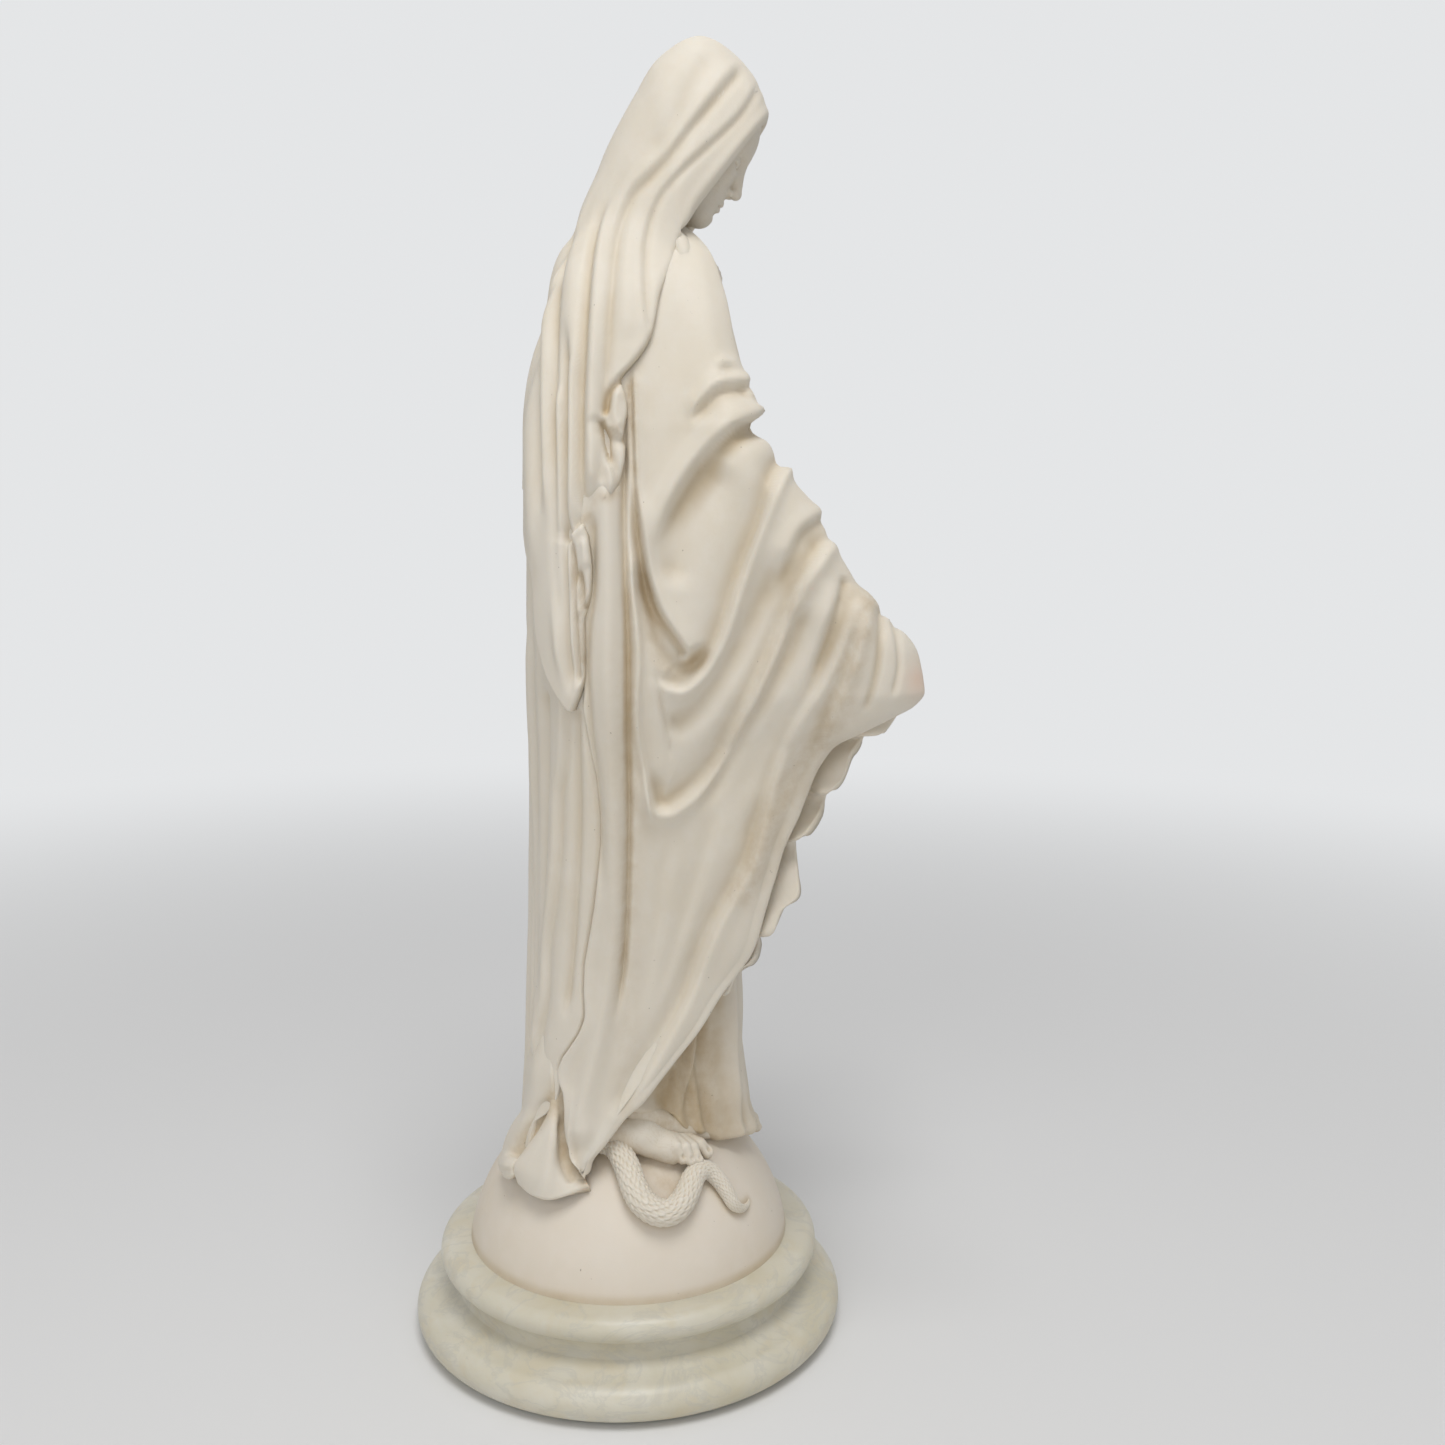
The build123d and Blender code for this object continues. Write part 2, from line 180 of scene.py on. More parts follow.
def alabaster_finish():
    """Polished alabaster: warm ivory clouds, honey patches and thin grey veins."""
    material, tree, surface = shader_nodes("alabaster")
    clouds = noise(tree, 22, 5, 0.6, (1, 1, 1.6), 0.6)
    patches = noise(tree, 48, 3, 0.5, (1, 1, 1), 1.2)
    veins = noise(tree, 30, 6, 0.62, (1, 1, 2.2), 1.6)
    off_vein = maths(tree, "ABSOLUTE", maths(tree, "SUBTRACT", veins, 0.5, False), 0)
    thin = maths(tree, "SUBTRACT", 1.0, maths(tree, "MULTIPLY", off_vein, 26))
    colour = tint(tree, (0.59, 0.545, 0.415), (0.665, 0.635, 0.54), ramp(tree, clouds, 0.35, 0.65))
    colour = tint(tree, colour, (0.60, 0.515, 0.345), ramp(tree, patches, 0.50, 0.78, 0, 0.65))
    colour = tint(tree, colour, (0.50, 0.485, 0.43), maths(tree, "MULTIPLY", thin, 0.42))
    tree.links.new(colour, surface.inputs["Base Color"])
    set_dials(surface, {"Roughness": 0.42, "Subsurface Weight": 0.18, "Subsurface Radius": (1.0, 0.8, 0.5),
                        "Subsurface Scale": 0.004, "Coat Weight": 0.08, "Coat Roughness": 0.28})
    bumps(tree, surface, [(noise(tree, 900, 2, 0.5), 0.12, 0.0004), (noise(tree, 140, 3, 0.5), 0.15, 0.0006)])
    return material


alabaster = alabaster_finish()
plinth = lathe("plinth_stone", plinth_outline)
plinth.data.materials.append(alabaster)
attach(plinth, "root")
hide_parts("plinth")

# ======================================================================================
# Felt disc and steel: a round of green pressed felt is glued under the plinth to spare the
# table. The rod, its nuts and washer, the neck dowel and the hand pins are zinc-plated steel.
# ======================================================================================


def felt_finish():
    """Dark green pressed felt, its fibres matted."""
    material, tree, surface = shader_nodes("felt")
    fibres = noise(tree, 1800, 6, 0.7)
    green = tint(tree, (0.010, 0.035, 0.018), (0.03, 0.085, 0.045), fibres)
    tree.links.new(green, surface.inputs["Base Color"])
    set_dials(surface, {"Roughness": 0.95, "Sheen Weight": 0.3})
    bumps(tree, surface, [(fibres, 0.6, 0.0006)])
    return material


def steel_finish():
    """Zinc-plated steel for the rod, its nuts and washer, and the pins."""
    material, tree, surface = shader_nodes("zinc_steel")
    brushed = noise(tree, 900, 4, 0.6, (1, 1, 6))
    tree.links.new(tint(tree, (0.42, 0.43, 0.44), (0.60, 0.61, 0.62), brushed), surface.inputs["Base Color"])
    surface.inputs["Metallic"].default_value = 1.0
    tree.links.new(ramp(tree, brushed, 0.2, 0.8, 0.3, 0.5), surface.inputs["Roughness"])
    return material


felt, steel = felt_finish(), steel_finish()
for node, finish in (("felt_pad", felt), ("centre_rod", steel), ("rod_nut", steel), ("rod_washer", steel),
                     ("anchor_nut", steel), ("neck_dowel", steel), ("hand_pins", steel)):
    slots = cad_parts[node].data.materials
    slots.clear()
    slots.append(finish)

# ======================================================================================
# Half globe: bonded marble, cast with the figure and rubbed smooth. It is seated in the
# plinth's round top, and the serpent and the feet are bonded to it.
# ======================================================================================
globe_centre = 27.5
globe_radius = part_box("globe")[1].z / MM - globe_centre
globe_middle = np.array([0.0, 0.0, globe_centre])


def marble_finish(name, ivory, speck=1.0):
    """Bonded marble: ivory, with painted shade and patina in its hollows, old varnish mixed with painted
    shade, and blush, where the piece's age-and-shade map has them.
    """
    material, tree, surface = shader_nodes(name)
    age_and_shade = tree.nodes.new("ShaderNodeVertexColor")
    age_and_shade.layer_name = "age_and_shade"
    split = tree.nodes.new("ShaderNodeSeparateColor")
    tree.links.new(age_and_shade.outputs["Color"], split.inputs["Color"])
    hollow, varnish_and_shade = split.outputs["Red"], split.outputs["Green"]
    broad = noise(tree, 14, 4, 0.55, (1, 1, 0.6))
    fine = noise(tree, 95, 5, 0.6)
    warmer = tuple(c * f for c, f in zip(ivory, (0.965, 0.945, 0.90)))
    paler = tuple(c * f for c, f in zip(ivory, (1.03, 1.035, 1.05)))
    colour = tint(tree, ivory, warmer, ramp(tree, broad, 0.35, 0.7))
    colour = tint(tree, colour, paler, ramp(tree, fine, 0.45, 0.75, 0, 0.6))
    patchy = ramp(tree, noise(tree, 40, 4, 0.6), 0.3, 0.7, 0.45, 1.0)
    # Painted shade: the hollow channel browns creases and recesses as shade would, mixed with the real patina
    # of the cast.
    shade_and_patina = maths(tree, "MULTIPLY", maths(tree, "MULTIPLY", hollow, patchy), 0.78)
    colour = tint(tree, colour, (0.50, 0.385, 0.225), shade_and_patina)
    # The second channel is old varnish mixed with painted shade under folds and overhangs, laid on in
    # blotches.
    blotches = ramp(tree, noise(tree, 120, 5, 0.65), 0.3, 0.75, 0.0, 0.85)
    colour = tint(tree, colour, (0.47, 0.35, 0.20), maths(tree, "MULTIPLY", varnish_and_shade, blotches))
    colour = tint(tree, colour, (0.76, 0.50, 0.38), maths(tree, "MULTIPLY", split.outputs["Blue"], 0.45))
    specks = ramp(tree, noise(tree, 780, 1, 0.4), 0.80, 0.83, 0, 0.55 * speck)
    colour = tint(tree, colour, (0.22, 0.17, 0.12), specks)
    tree.links.new(colour, surface.inputs["Base Color"])
    tree.links.new(ramp(tree, noise(tree, 60, 4, 0.6), 0.3, 0.7, 0.52, 0.64), surface.inputs["Roughness"])
    set_dials(surface, {"Specular IOR Level": 0.42, "Subsurface Weight": 0.12,
                        "Subsurface Radius": (1.0, 0.75, 0.5), "Subsurface Scale": 0.0025})
    grain, ripple = noise(tree, 1500, 3, 0.6), noise(tree, 220, 3, 0.5)
    bumps(tree, surface, [(grain, 0.10, 0.0003), (ripple, 0.10, 0.0006)])
    return material


marble = marble_finish("cast_marble", (0.740, 0.685, 0.592))
globe_marble = marble_finish("globe_marble", (0.745, 0.675, 0.58), 1.2)


def paint_age_and_shade(piece, hollow, varnish_and_shade=None, blush=None):
    """Stores, for the finish to read, each vertex's painted shade with patina in hollows, its old varnish
    with painted shade, and how pink it is.
    """
    layer = piece.data.color_attributes.new("age_and_shade", "FLOAT_COLOR", "POINT")
    values = np.zeros((len(piece.data.vertices), 4), dtype=np.float32)
    for channel, amount in enumerate((hollow, varnish_and_shade, blush)):
        if amount is not None:
            values[:, channel] = np.clip(amount, 0, 1)
    values[:, 3] = 1
    layer.data.foreach_set("color", values.ravel())


def smooth_step(low, high, value):
    """Eases from 0 at low to 1 at high."""
    share = np.clip((value - low) / (high - low), 0, 1)
    return share * share * (3 - 2 * share)


def vertices_of(piece):
    """A piece's vertices, in millimetres."""
    flat = np.empty(len(piece.data.vertices) * 3, dtype=np.float32)
    piece.data.vertices.foreach_get("co", flat)
    return flat.reshape(-1, 3).astype(float) / MM


seam = plinth_top - 1.0
start_angle = math.degrees(math.asin((seam - globe_centre) / globe_radius))
globe_outline = [(0.0, seam)] + arc((0, globe_centre), globe_radius, start_angle, 89.9, 90)
globe_outline += [(0.0, globe_centre + globe_radius)]
globe = lathe("globe_half", globe_outline, 224)
globe.data.materials.append(globe_marble)
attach(globe, "root")
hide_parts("globe")

# ======================================================================================
# Gown: the solid heart of the figure, bonded marble cast over the steel rod. It hangs in
# long soft folds from a sash, and breaks over the feet onto the globe.
# ======================================================================================


def column(values):
    """A list of numbers or points as an array."""
    return np.asarray(values, float)


def between(f, run, a, b, lean_a, lean_b):
    """A smooth curve from a to b, at a share f of its run, that leaves and arrives with the given leans."""
    return ((1 + 2 * f) * (1 - f) ** 2 * a + f * (1 - f) ** 2 * run * lean_a
            + f * f * (3 - 2 * f) * b + f * f * (f - 1) * run * lean_b)


def smooth_table(at, values, where):
    """Values set at a few places, drawn through smoothly and without overshoot."""
    at, values, where = column(at), column(values), column(where)
    step = np.diff(at)
    slope = np.diff(values) / step
    lean = np.zeros(len(at))
    lean[0], lean[-1] = slope[0], slope[-1]
    for i in range(1, len(at) - 1):
        if slope[i - 1] * slope[i] > 0:
            a, b = 2 * step[i] + step[i - 1], step[i] + 2 * step[i - 1]
            lean[i] = (a + b) / (a / slope[i - 1] + b / slope[i])
    i = np.clip(np.searchsorted(at, where, side="right") - 1, 0, len(at) - 2)
    f = np.clip((where - at[i]) / step[i], 0, 1)
    return between(f, step[i], values[i], values[i + 1], lean[i], lean[i + 1])


def through(points, place):
    """Points (..., n, k) joined by a smooth line; place counts along them from 0 to n - 1."""
    gaps = np.maximum(np.linalg.norm(np.diff(points, axis=-2), axis=-1, keepdims=True), 1e-6) ** 0.8
    runs = np.diff(points, axis=-2) / gaps
    inner = (runs[..., :-1, :] * gaps[..., 1:, :] + runs[..., 1:, :] * gaps[..., :-1, :]) / (
        gaps[..., 1:, :] + gaps[..., :-1, :])
    leans = np.concatenate([runs[..., :1, :], inner, runs[..., -1:, :]], axis=-2)
    count = points.shape[-2]
    i = np.clip(np.floor(place).astype(int), 0, count - 2)
    f = (place - i)[..., None]
    shape = np.broadcast_shapes(points.shape[:-2], place.shape)
    i = np.broadcast_to(i, shape)[..., None, None]

    def picked(rows, number):
        """The row of each place's own number."""
        spread = np.broadcast_to(rows, shape + rows.shape[-2:])
        return np.take_along_axis(spread, number, axis=-2)[..., 0, :]

    return between(f, picked(gaps, i), picked(points, i), picked(points, i + 1), picked(leans, i),
                   picked(leans, i + 1))


def line_of(points, step=2.0):
    """A drawn line: a smooth run of points about one step apart."""
    points = column(points)
    length = np.linalg.norm(np.diff(points, axis=0), axis=1).sum()
    return through(points, np.linspace(0, len(points) - 1, max(int(length / step), 2) + 1))


# Folds are set out on an upright drawing board in front of the figure, at x = -50, and cast onto
# the cloth from an eye: its distance from the axis, its height, and its distance from the board.
eye_far, eye_high, board_far = 553.0, 320, 503.0


def board(points):
    """Where a point shows on the drawing board: its y and its z."""
    share = board_far / (eye_far - np.abs(points[..., 0]))
    return points[..., 1] * share, eye_high + (points[..., 2] - eye_high) * share


def measure(points, y, z):
    """Signed distance of (y, z) from a drawn line, how far along it that is, and its length."""
    line = line_of(points)
    nearest = np.full(y.shape, 1e12)
    side, run, base = np.ones(y.shape), np.zeros(y.shape), 0.0
    for a, b in zip(line[:-1], line[1:]):
        d = b - a
        length = math.hypot(*d)
        f = np.clip(((y - a[0]) * d[0] + (z - a[1]) * d[1]) / length ** 2, 0, 1)
        ey, ez = y - a[0] - f * d[0], z - a[1] - f * d[1]
        far = ey * ey + ez * ez
        closer = far < nearest
        nearest = np.where(closer, far, nearest)
        side = np.where(closer, np.sign(d[0] * ez - d[1] * ey + 1e-9), side)
        run = np.where(closer, base + f * length, run)
        base += length
    return side * np.sqrt(nearest), run, base


def hill(gap, wide):
    """A bell curve: 1 where gap is nothing, and almost nothing past twice its width."""
    return np.exp(-(gap / wide) ** 2)


def eased(gap, radius):
    """How far a surface is let down near a border, so that the border is rounded."""
    near = np.clip(gap, 0, radius)
    return radius - np.sqrt(np.maximum(radius ** 2 - (radius - near) ** 2, 0))


def fade(run, length, start, end):
    """Full along a fold's length, and easing to nothing over its two ends."""
    first = smooth_step(0, start, run) if start > 0 else 1.0
    last = smooth_step(0, end, length - run) if end > 0 else 1.0
    return first * last


def fold(y, z, points, high, wide, low=0.0, low_wide=None, start=12, end=12, sharp=0.55, raised=1):
    """Height of one drawn fold. With a low side, it is a lip that stands over a hollow."""
    far, run, length = measure(points, y, z)
    far = far * raised
    if low:
        over = 1 / (1 + np.exp(-np.clip(far / sharp, -30, 30)))
        height = over * high * hill(far, wide) - (1 - over) * low * hill(far, low_wide or wide)
    else:
        height = high * hill(far, wide)
    return height * fade(run, length, start, end)


def fold_sum(table, y, z, shown=1.0):
    """All the folds of a table. A row of five is a plain fold, and a row of nine is a lip over a hollow."""
    total = np.zeros(y.shape)
    for points, high, wide, *rest in table:
        low, low_wide, start, end, raised, sharp = rest if len(rest) > 2 else (0, 0, *rest, 1, 1)
        total += fold(y, z, points, high, wide, low, low_wide, start, end, sharp, raised) * shown
    return total


def beside(points, y, z, wide):
    """1 along a drawn line, easing to nothing at about twice wide from it."""
    return hill(measure(points, y, z)[0], wide)


def normals_of(grid):
    """Unit normals of a grid of points (rows, columns, 3)."""
    down, across = np.gradient(grid, axis=0), np.gradient(grid, axis=1)
    normal = np.cross(across, down)
    return normal / np.maximum(np.linalg.norm(normal, axis=-1, keepdims=True), 1e-9)


def blurred(field, reach, loops=2):
    """A grid of values, each averaged with its neighbours within reach; the ends repeat."""
    for _ in range(loops):
        for axis, width in enumerate(reach):
            pad = [(0, 0)] * field.ndim
            pad[axis] = (width + 1, width)
            total = np.cumsum(np.pad(field, pad, mode="edge"), axis=axis)
            size = 2 * width + 1
            low = [slice(None)] * field.ndim
            high = [slice(None)] * field.ndim
            low[axis], high[axis] = slice(0, -size), slice(size, None)
            field = (total[tuple(high)] - total[tuple(low)]) / size
    return field


def mesh_piece(name, points, faces):
    """A smooth-shaded object from points in millimetres, its faces turned outwards."""
    mesh = bpy.data.meshes.new(name)
    mesh.from_pydata((np.asarray(points) * MM).tolist(), [], faces)
    shell = bmesh.new()
    shell.from_mesh(mesh)
    if shell.calc_volume(signed=True) < 0:
        bmesh.ops.reverse_faces(shell, faces=shell.faces)
        shell.to_mesh(mesh)
    shell.free()
    mesh.validate()
    mesh.polygons.foreach_set("use_smooth", [True] * len(mesh.polygons))
    mesh.update()
    piece = bpy.data.objects.new(name, mesh)
    bpy.context.collection.objects.link(piece)
    return piece


def net(rows, cols, first=0, wrap=(False, False)):
    """Faces over a grid of points numbered from first; wrap joins its last row or column to its first."""
    i, j = np.meshgrid(np.arange(rows - (not wrap[0])), np.arange(cols - (not wrap[1])), indexing="ij")
    below, across = (i + 1) % rows, (j + 1) % cols
    corners = ((i, j), (i, across), (below, across), (below, j))
    return np.stack([first + (a * cols + b).ravel() for a, b in corners], axis=1)


def cloth(name, outer, inner, hollow, varnish_and_shade=None, coarse=3, blush=None):
    """A sheet with thickness: a fine outer grid, a coarser inner one, and its four borders closed."""
    rows, cols = outer.shape[:2]
    inside = inner[::coarse, ::coarse]
    in_rows, in_cols = inside.shape[:2]
    points = np.concatenate([outer.reshape(-1, 3), inside.reshape(-1, 3)])
    base = rows * cols
    faces = net(rows, cols).tolist() + net(in_rows, in_cols, base)[:, [0, 3, 2, 1]].tolist()
    for k in range(in_cols - 1):
        low = list(range(k * coarse, (k + 1) * coarse + 1))
        faces.append([base + k, base + k + 1] + low[::-1])
        top = [(rows - 1) * cols + j for j in low]
        end = base + (in_rows - 1) * in_cols
        faces.append(top + [end + k + 1, end + k])
    for k in range(in_rows - 1):
        low = [i * cols for i in range(k * coarse, (k + 1) * coarse + 1)]
        faces.append(low + [base + (k + 1) * in_cols, base + k * in_cols])
        top = [v + cols - 1 for v in low]
        faces.append([base + k * in_cols + in_cols - 1, base + (k + 1) * in_cols + in_cols - 1] + top[::-1])
    piece = mesh_piece(name, points, faces)
    # Painted shade, varnish and blush carry over to the coarse inner skin.
    both = [None if finish_layer is None else np.concatenate([finish_layer.ravel(), finish_layer[::coarse, ::coarse].ravel()])
            for finish_layer in (hollow, varnish_and_shade, blush)]
    paint_age_and_shade(piece, *both)
    return piece


def spaced(total, low_fine=0, high_fine=0, fine=0.35):
    """0 to 1 in total steps, closer together at the ends that need it."""
    steps = np.ones(total)
    steps[:low_fine] = fine
    steps[total - high_fine:] = fine
    out = np.concatenate([[0], np.cumsum(steps)])
    return out / out[-1]


def carved(base, height, reach=(5, 5), gain=1.0):
    """A grid pushed out along its normals by a height map, and how hollow each point of it is."""
    normal = normals_of(base)
    outer = base + normal * height[..., None]
    hollow = np.clip((blurred(height, reach) - height) * gain, 0, 1)
    return outer, normal, hollow


gown_levels = [60, 76, 84, 97, 104, 120, 150, 190, 230, 270, 300, 325, 340, 352, 366, 380, 395, 408, 418, 425,
               431, 436]
gown_front = [-46, -49.5, -49, -47.5, -46.5, -45, -45, -47, -48, -47, -45, -41, -37.5, -39, -43.5, -45, -42.3,
              -39.2, -36.8, -34.2, -31, -25]
gown_back = [33, 33, 33, 33, 33, 32, 30, 29, 28, 27, 26, 25, 24, 25, 26, 26, 23, 19, 14, 9, 5, 3]
gown_half = [44, 43, 43, 43, 42, 41, 40, 39, 38, 36, 33, 29, 26.5, 27.5, 30, 32, 33, 32, 29, 24, 18, 13]


def gown_base(turn, z):
    """The gown's bare body: turn runs from 0 at the back, past 1 on the right, to 2 in front."""
    front, back = smooth_table(gown_levels, gown_front, z), smooth_table(gown_levels, gown_back, z)
    half = smooth_table(gown_levels, gown_half, z)
    angle = turn * math.pi / 2
    x = -np.sign(np.sin(angle)) * half * np.abs(np.sin(angle)) ** 0.9
    y = (front + back) / 2 + (back - front) / 2 * np.sign(np.cos(angle)) * np.abs(np.cos(angle)) ** 0.9
    return np.stack([x, y, z + 0 * x], axis=-1)


gown_columns, gown_rows = 300, 270
turns = np.linspace(0, 4, gown_columns + 1)[None, :]
hem_wave = 1.6 * np.sin(turns * math.pi * 7.3) + 1.1 * np.sin(turns * math.pi * 3.1 + 1)
gown_hem = smooth_table([0, 0.15, 0.3, 0.5, 0.7, 0.85, 1.0, 1.3, 2.0],
                        [78, 79.5, 81.5, 84, 88.5, 95.5, 101.5, 101, 97], np.abs(turns - 2)) + 0.5 * hem_wave
share = spaced(gown_rows, 6, 0, 0.3)[:, None]
gown_top = 435
height_at = gown_hem + (gown_top - gown_hem) * share
body = gown_base(turns + 0 * share, height_at)
skirt = 1 - smooth_step(300, 338, height_at)
bodice = smooth_step(352, 362, height_at) * (1 - smooth_step(385, 415, height_at))
sway = 0.018 * np.sin(height_at / 38) + 0.012 * np.sin(height_at / 17 + 2)
pleats = np.zeros(height_at.shape)
for middle, wide, high in ((1.22, 0.05, 2.2), (1.40, 0.045, 2.8), (1.56, 0.05, 2.6), (1.70, 0.038, 3.2),
                           (1.83, 0.04, 3.4), (1.955, 0.036, 3.2), (2.06, 0.04, 3.6), (2.19, 0.045, 3.2),
                           (2.32, 0.04, 2.8), (2.46, 0.05, 3.0), (2.62, 0.045, 2.4), (2.80, 0.05, 2.2)):
    spread = wide * (1.25 - 0.45 * smooth_step(150, 330, height_at))
    pleats += high * hill(turns - middle + sway * (1 + 2 * (middle - 2)), spread)
pleats = (pleats - 1.6) * skirt * (0.55 + 0.45 * (1 - smooth_step(90, 260, height_at)))
drawn = 1.3 * np.sin(turns * math.pi * 10.5) * hill(height_at - 352, 11) * smooth_step(343, 349, height_at)
for side in (-1, 1):
    for slant, high in ((0.10, 1.3), (0.24, 1.5), (0.38, 1.2)):
        drift = side * (turns - 2) - slant - 0.10 * np.sin((height_at - 350) / 26)
        drawn += high * hill(drift, 0.042) * bodice
collar = height_at - (427.5 - 7 * hill(turns - 2, 0.30))
drawn += 1.1 * hill(collar + 1.6, 1.5) - 1.5 * smooth_step(-0.6, 0.9, collar)
hem_roll = hill(height_at - gown_hem - 2.2, 2.6) * 1.3
hem_round = eased(height_at - gown_hem, 1.6)
tucked = smooth_step(0.25, 0.5, np.abs(turns - 2)) * (1 - smooth_step(0.85, 1.1, np.abs(turns - 2)))
relief = pleats + drawn + hem_roll - hem_round - 9.5 * tucked * (1 - smooth_step(118, 190, height_at))
relief += 3.4 * np.exp(-(((turns - 1.87) / 0.055) ** 2 + ((height_at - gown_hem - 5.5) / 4.5) ** 2))
# by and bz are where each point of a grid shows on the drawing board.
by, bz = board(body)
seen = smooth_step(5, 20, -body[..., 0])
# Folds that break over the right foot: a line on the board, height, width and the hollow's depth.
for points, high, wide, low in (
        ([(-48, 165), (-43, 150), (-41, 132), (-43, 112), (-44, 103)], 2.2, 4.0, 1.8),
        ([(-38, 158), (-33, 140), (-30, 125), (-27, 112), (-22, 101)], 2.0, 3.4, 1.6),
        ([(-30, 150), (-24, 134), (-19, 121), (-14, 108)], 1.6, 3.0, 1.4),
        ([(-30, 146), (-26, 132), (-20, 121), (-13, 115), (-6, 113)], 1.8, 3.0, 1.6),
        ([(-22, 116), (-18, 113.5), (-11.9, 111), (-6, 110)], 1.2, 2.0, 1.0)):
    relief += fold(by, bz, points, high, wide, low, 3.5) * seen * (np.abs(turns - 2) < 1.2)
gown_outer, _, gown_hollow = carved(body, relief, (5, 4), 0.45)
gown_outer[:, -1] = gown_outer[:, 0]


def closed_loft(name, grid, hollow, varnish_and_shade=None):
    """A solid from level rings (rows, columns, 3) whose last column repeats its first; ends are capped."""
    rows, cols = grid.shape[0], grid.shape[1] - 1
    points = grid[:, :-1].reshape(-1, 3)
    ends = np.stack([grid[0, :-1].mean(axis=0), grid[-1, :-1].mean(axis=0)])
    faces = net(rows, cols, 0, (False, True)).tolist()
    low, high = rows * cols, rows * cols + 1
    faces += [[low, (j + 1) % cols, j] for j in range(cols)]
    last = (rows - 1) * cols
    faces += [[high, last + j, last + (j + 1) % cols] for j in range(cols)]
    piece = mesh_piece(name, np.concatenate([points, ends]), faces)
    marks = None if varnish_and_shade is None else np.concatenate([varnish_and_shade[:, :-1].ravel(), [0, 0]])
    paint_age_and_shade(piece, np.concatenate([hollow[:, :-1].ravel(), [0, 0]]), marks)
    return piece


def cast_in(piece, node):
    """Gives a marble piece its finish, and puts it in the place of the CAD node that it shows."""
    piece.data.materials.append(marble)
    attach(piece, "root")
    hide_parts(node)


# Painted shade: the gown is darkened towards its hem and where it lies deep under the cloak, the same mask
# also laid on in varnish-brown.
shade_under_cloak = tucked * (1 - smooth_step(120, 185, height_at))
gown_hollow = np.clip(gown_hollow + 0.5 * (1 - smooth_step(88, 108, height_at)) + 0.8 * shade_under_cloak, 0, 1)
cast_in(closed_loft("gown_folds", gown_outer, gown_hollow, shade_under_cloak), "gown")

# ======================================================================================
# Mantle: a wide cloak cast with the figure. A back panel hangs to the globe, and a side
# panel on each arm is gathered forward over the forearm, its folds lapping the back.
# ======================================================================================
mantle_heights = [60, 84, 100, 115, 135, 155, 172, 190, 210, 230, 245, 256, 266, 276, 290, 305, 322, 340, 355,
                  370, 385, 400, 412, 422, 432, 442]
mantle_back = [44, 42.5, 41.5, 40.5, 39.8, 39, 38.3, 38, 37.5, 37.2, 37, 37, 37, 37, 37.3, 37, 36.6, 35.9, 35,
               33.6, 31.7, 29.2, 26.6, 23.2, 19, 14]
mantle_side = [50, 47, 45.5, 45, 45.5, 46.5, 48, 50, 52, 54.5, 57, 59, 60.5, 61, 61, 60.5, 59.5, 57.5, 55, 52,
               48.5, 44, 38.5, 30, 19.5, 14]
edge_x = [46, 46, 44.5, 44, 43, 42, 44, 45, 46.5, 47, 48, 52, 56, 56, 56, 55, 53.5, 51.5, 49, 46, 41.5, 36.5,
          31, 25, 16.5, 11]
edge_turn = [2.5, 2.5, 2.5, 2.5, 3, 3.5, 4, 4.5, 5, 6, 8, 10, 11, 12, 12.5, 13, 13, 13, 13, 12, 10, 8, 6.5,
             5.5, 5, 4.5]
front_heights = [60, 84, 91, 100, 112, 123, 135, 150, 158, 166, 174, 182, 193, 206, 217, 229, 238, 244, 249,
                 255, 260, 265, 270, 275, 280, 285, 290, 295, 300, 305, 310, 320, 325, 330, 335, 340, 345,
                 350, 355, 360, 363, 369, 376, 384, 391, 399, 406, 413, 420, 426, 430.5, 434, 442]
front_edge = [17, 14, 9, 3, -6, -15.5, -25.5, -35, -41, -46, -48.5, -50.5, -54, -57.5, -62, -66.5, -71, -76,
              -86, -97, -105, -108, -107.4, -106.4, -105, -101.8, -96.3, -91.2, -88, -82.6, -79.3, -73, -71.5,
              -69, -65, -60.5, -57, -54.5, -51, -46.5, -47.5, -46.9, -43.6, -40.9, -39.4, -38.2, -37, -35.3,
              -33.4, -31, -28, -24.5, -14]


def mantle_at(q, z):
    """The cloak's bare outline: q is 0 at the back, 3 on the side, 7 at the front edge, 10 inside."""
    z = np.broadcast_to(z, np.broadcast_shapes(q.shape, z.shape))
    back, side = smooth_table(mantle_heights, mantle_back, z), smooth_table(mantle_heights, mantle_side, z)
    ex, turn = smooth_table(mantle_heights, edge_x, z), smooth_table(mantle_heights, edge_turn, z)
    front = smooth_table(front_heights, front_edge, z)
    y3, y6 = np.maximum(back - 20, front + 2.2 * turn), front + 0.8 * turn
    x6 = ex + 0.7 * turn
    inner = np.maximum(-18, front + 12)
    outline = [(0 * z, back), (0.38 * side, back - 1), (0.72 * side, back - 6), (0.95 * side, y3),
               (side, y3 + (y6 - y3) / 3), (0.55 * side + 0.45 * x6, y3 + (y6 - y3) * 2 / 3), (x6, y6),
               (ex, front), (ex - 0.8 * turn, front + turn),
               (0.5 * (ex + 32) - 1.5, (front + turn + inner) / 2 + 1),
               (np.minimum(32, ex - 1.5 * turn), inner)]
    control = np.stack([np.stack(np.broadcast_arrays(-x, y), axis=-1) for x, y in outline], axis=-2)
    flat = through(control, np.broadcast_to(q, z.shape))
    return np.concatenate([flat, z[..., None]], axis=-1)


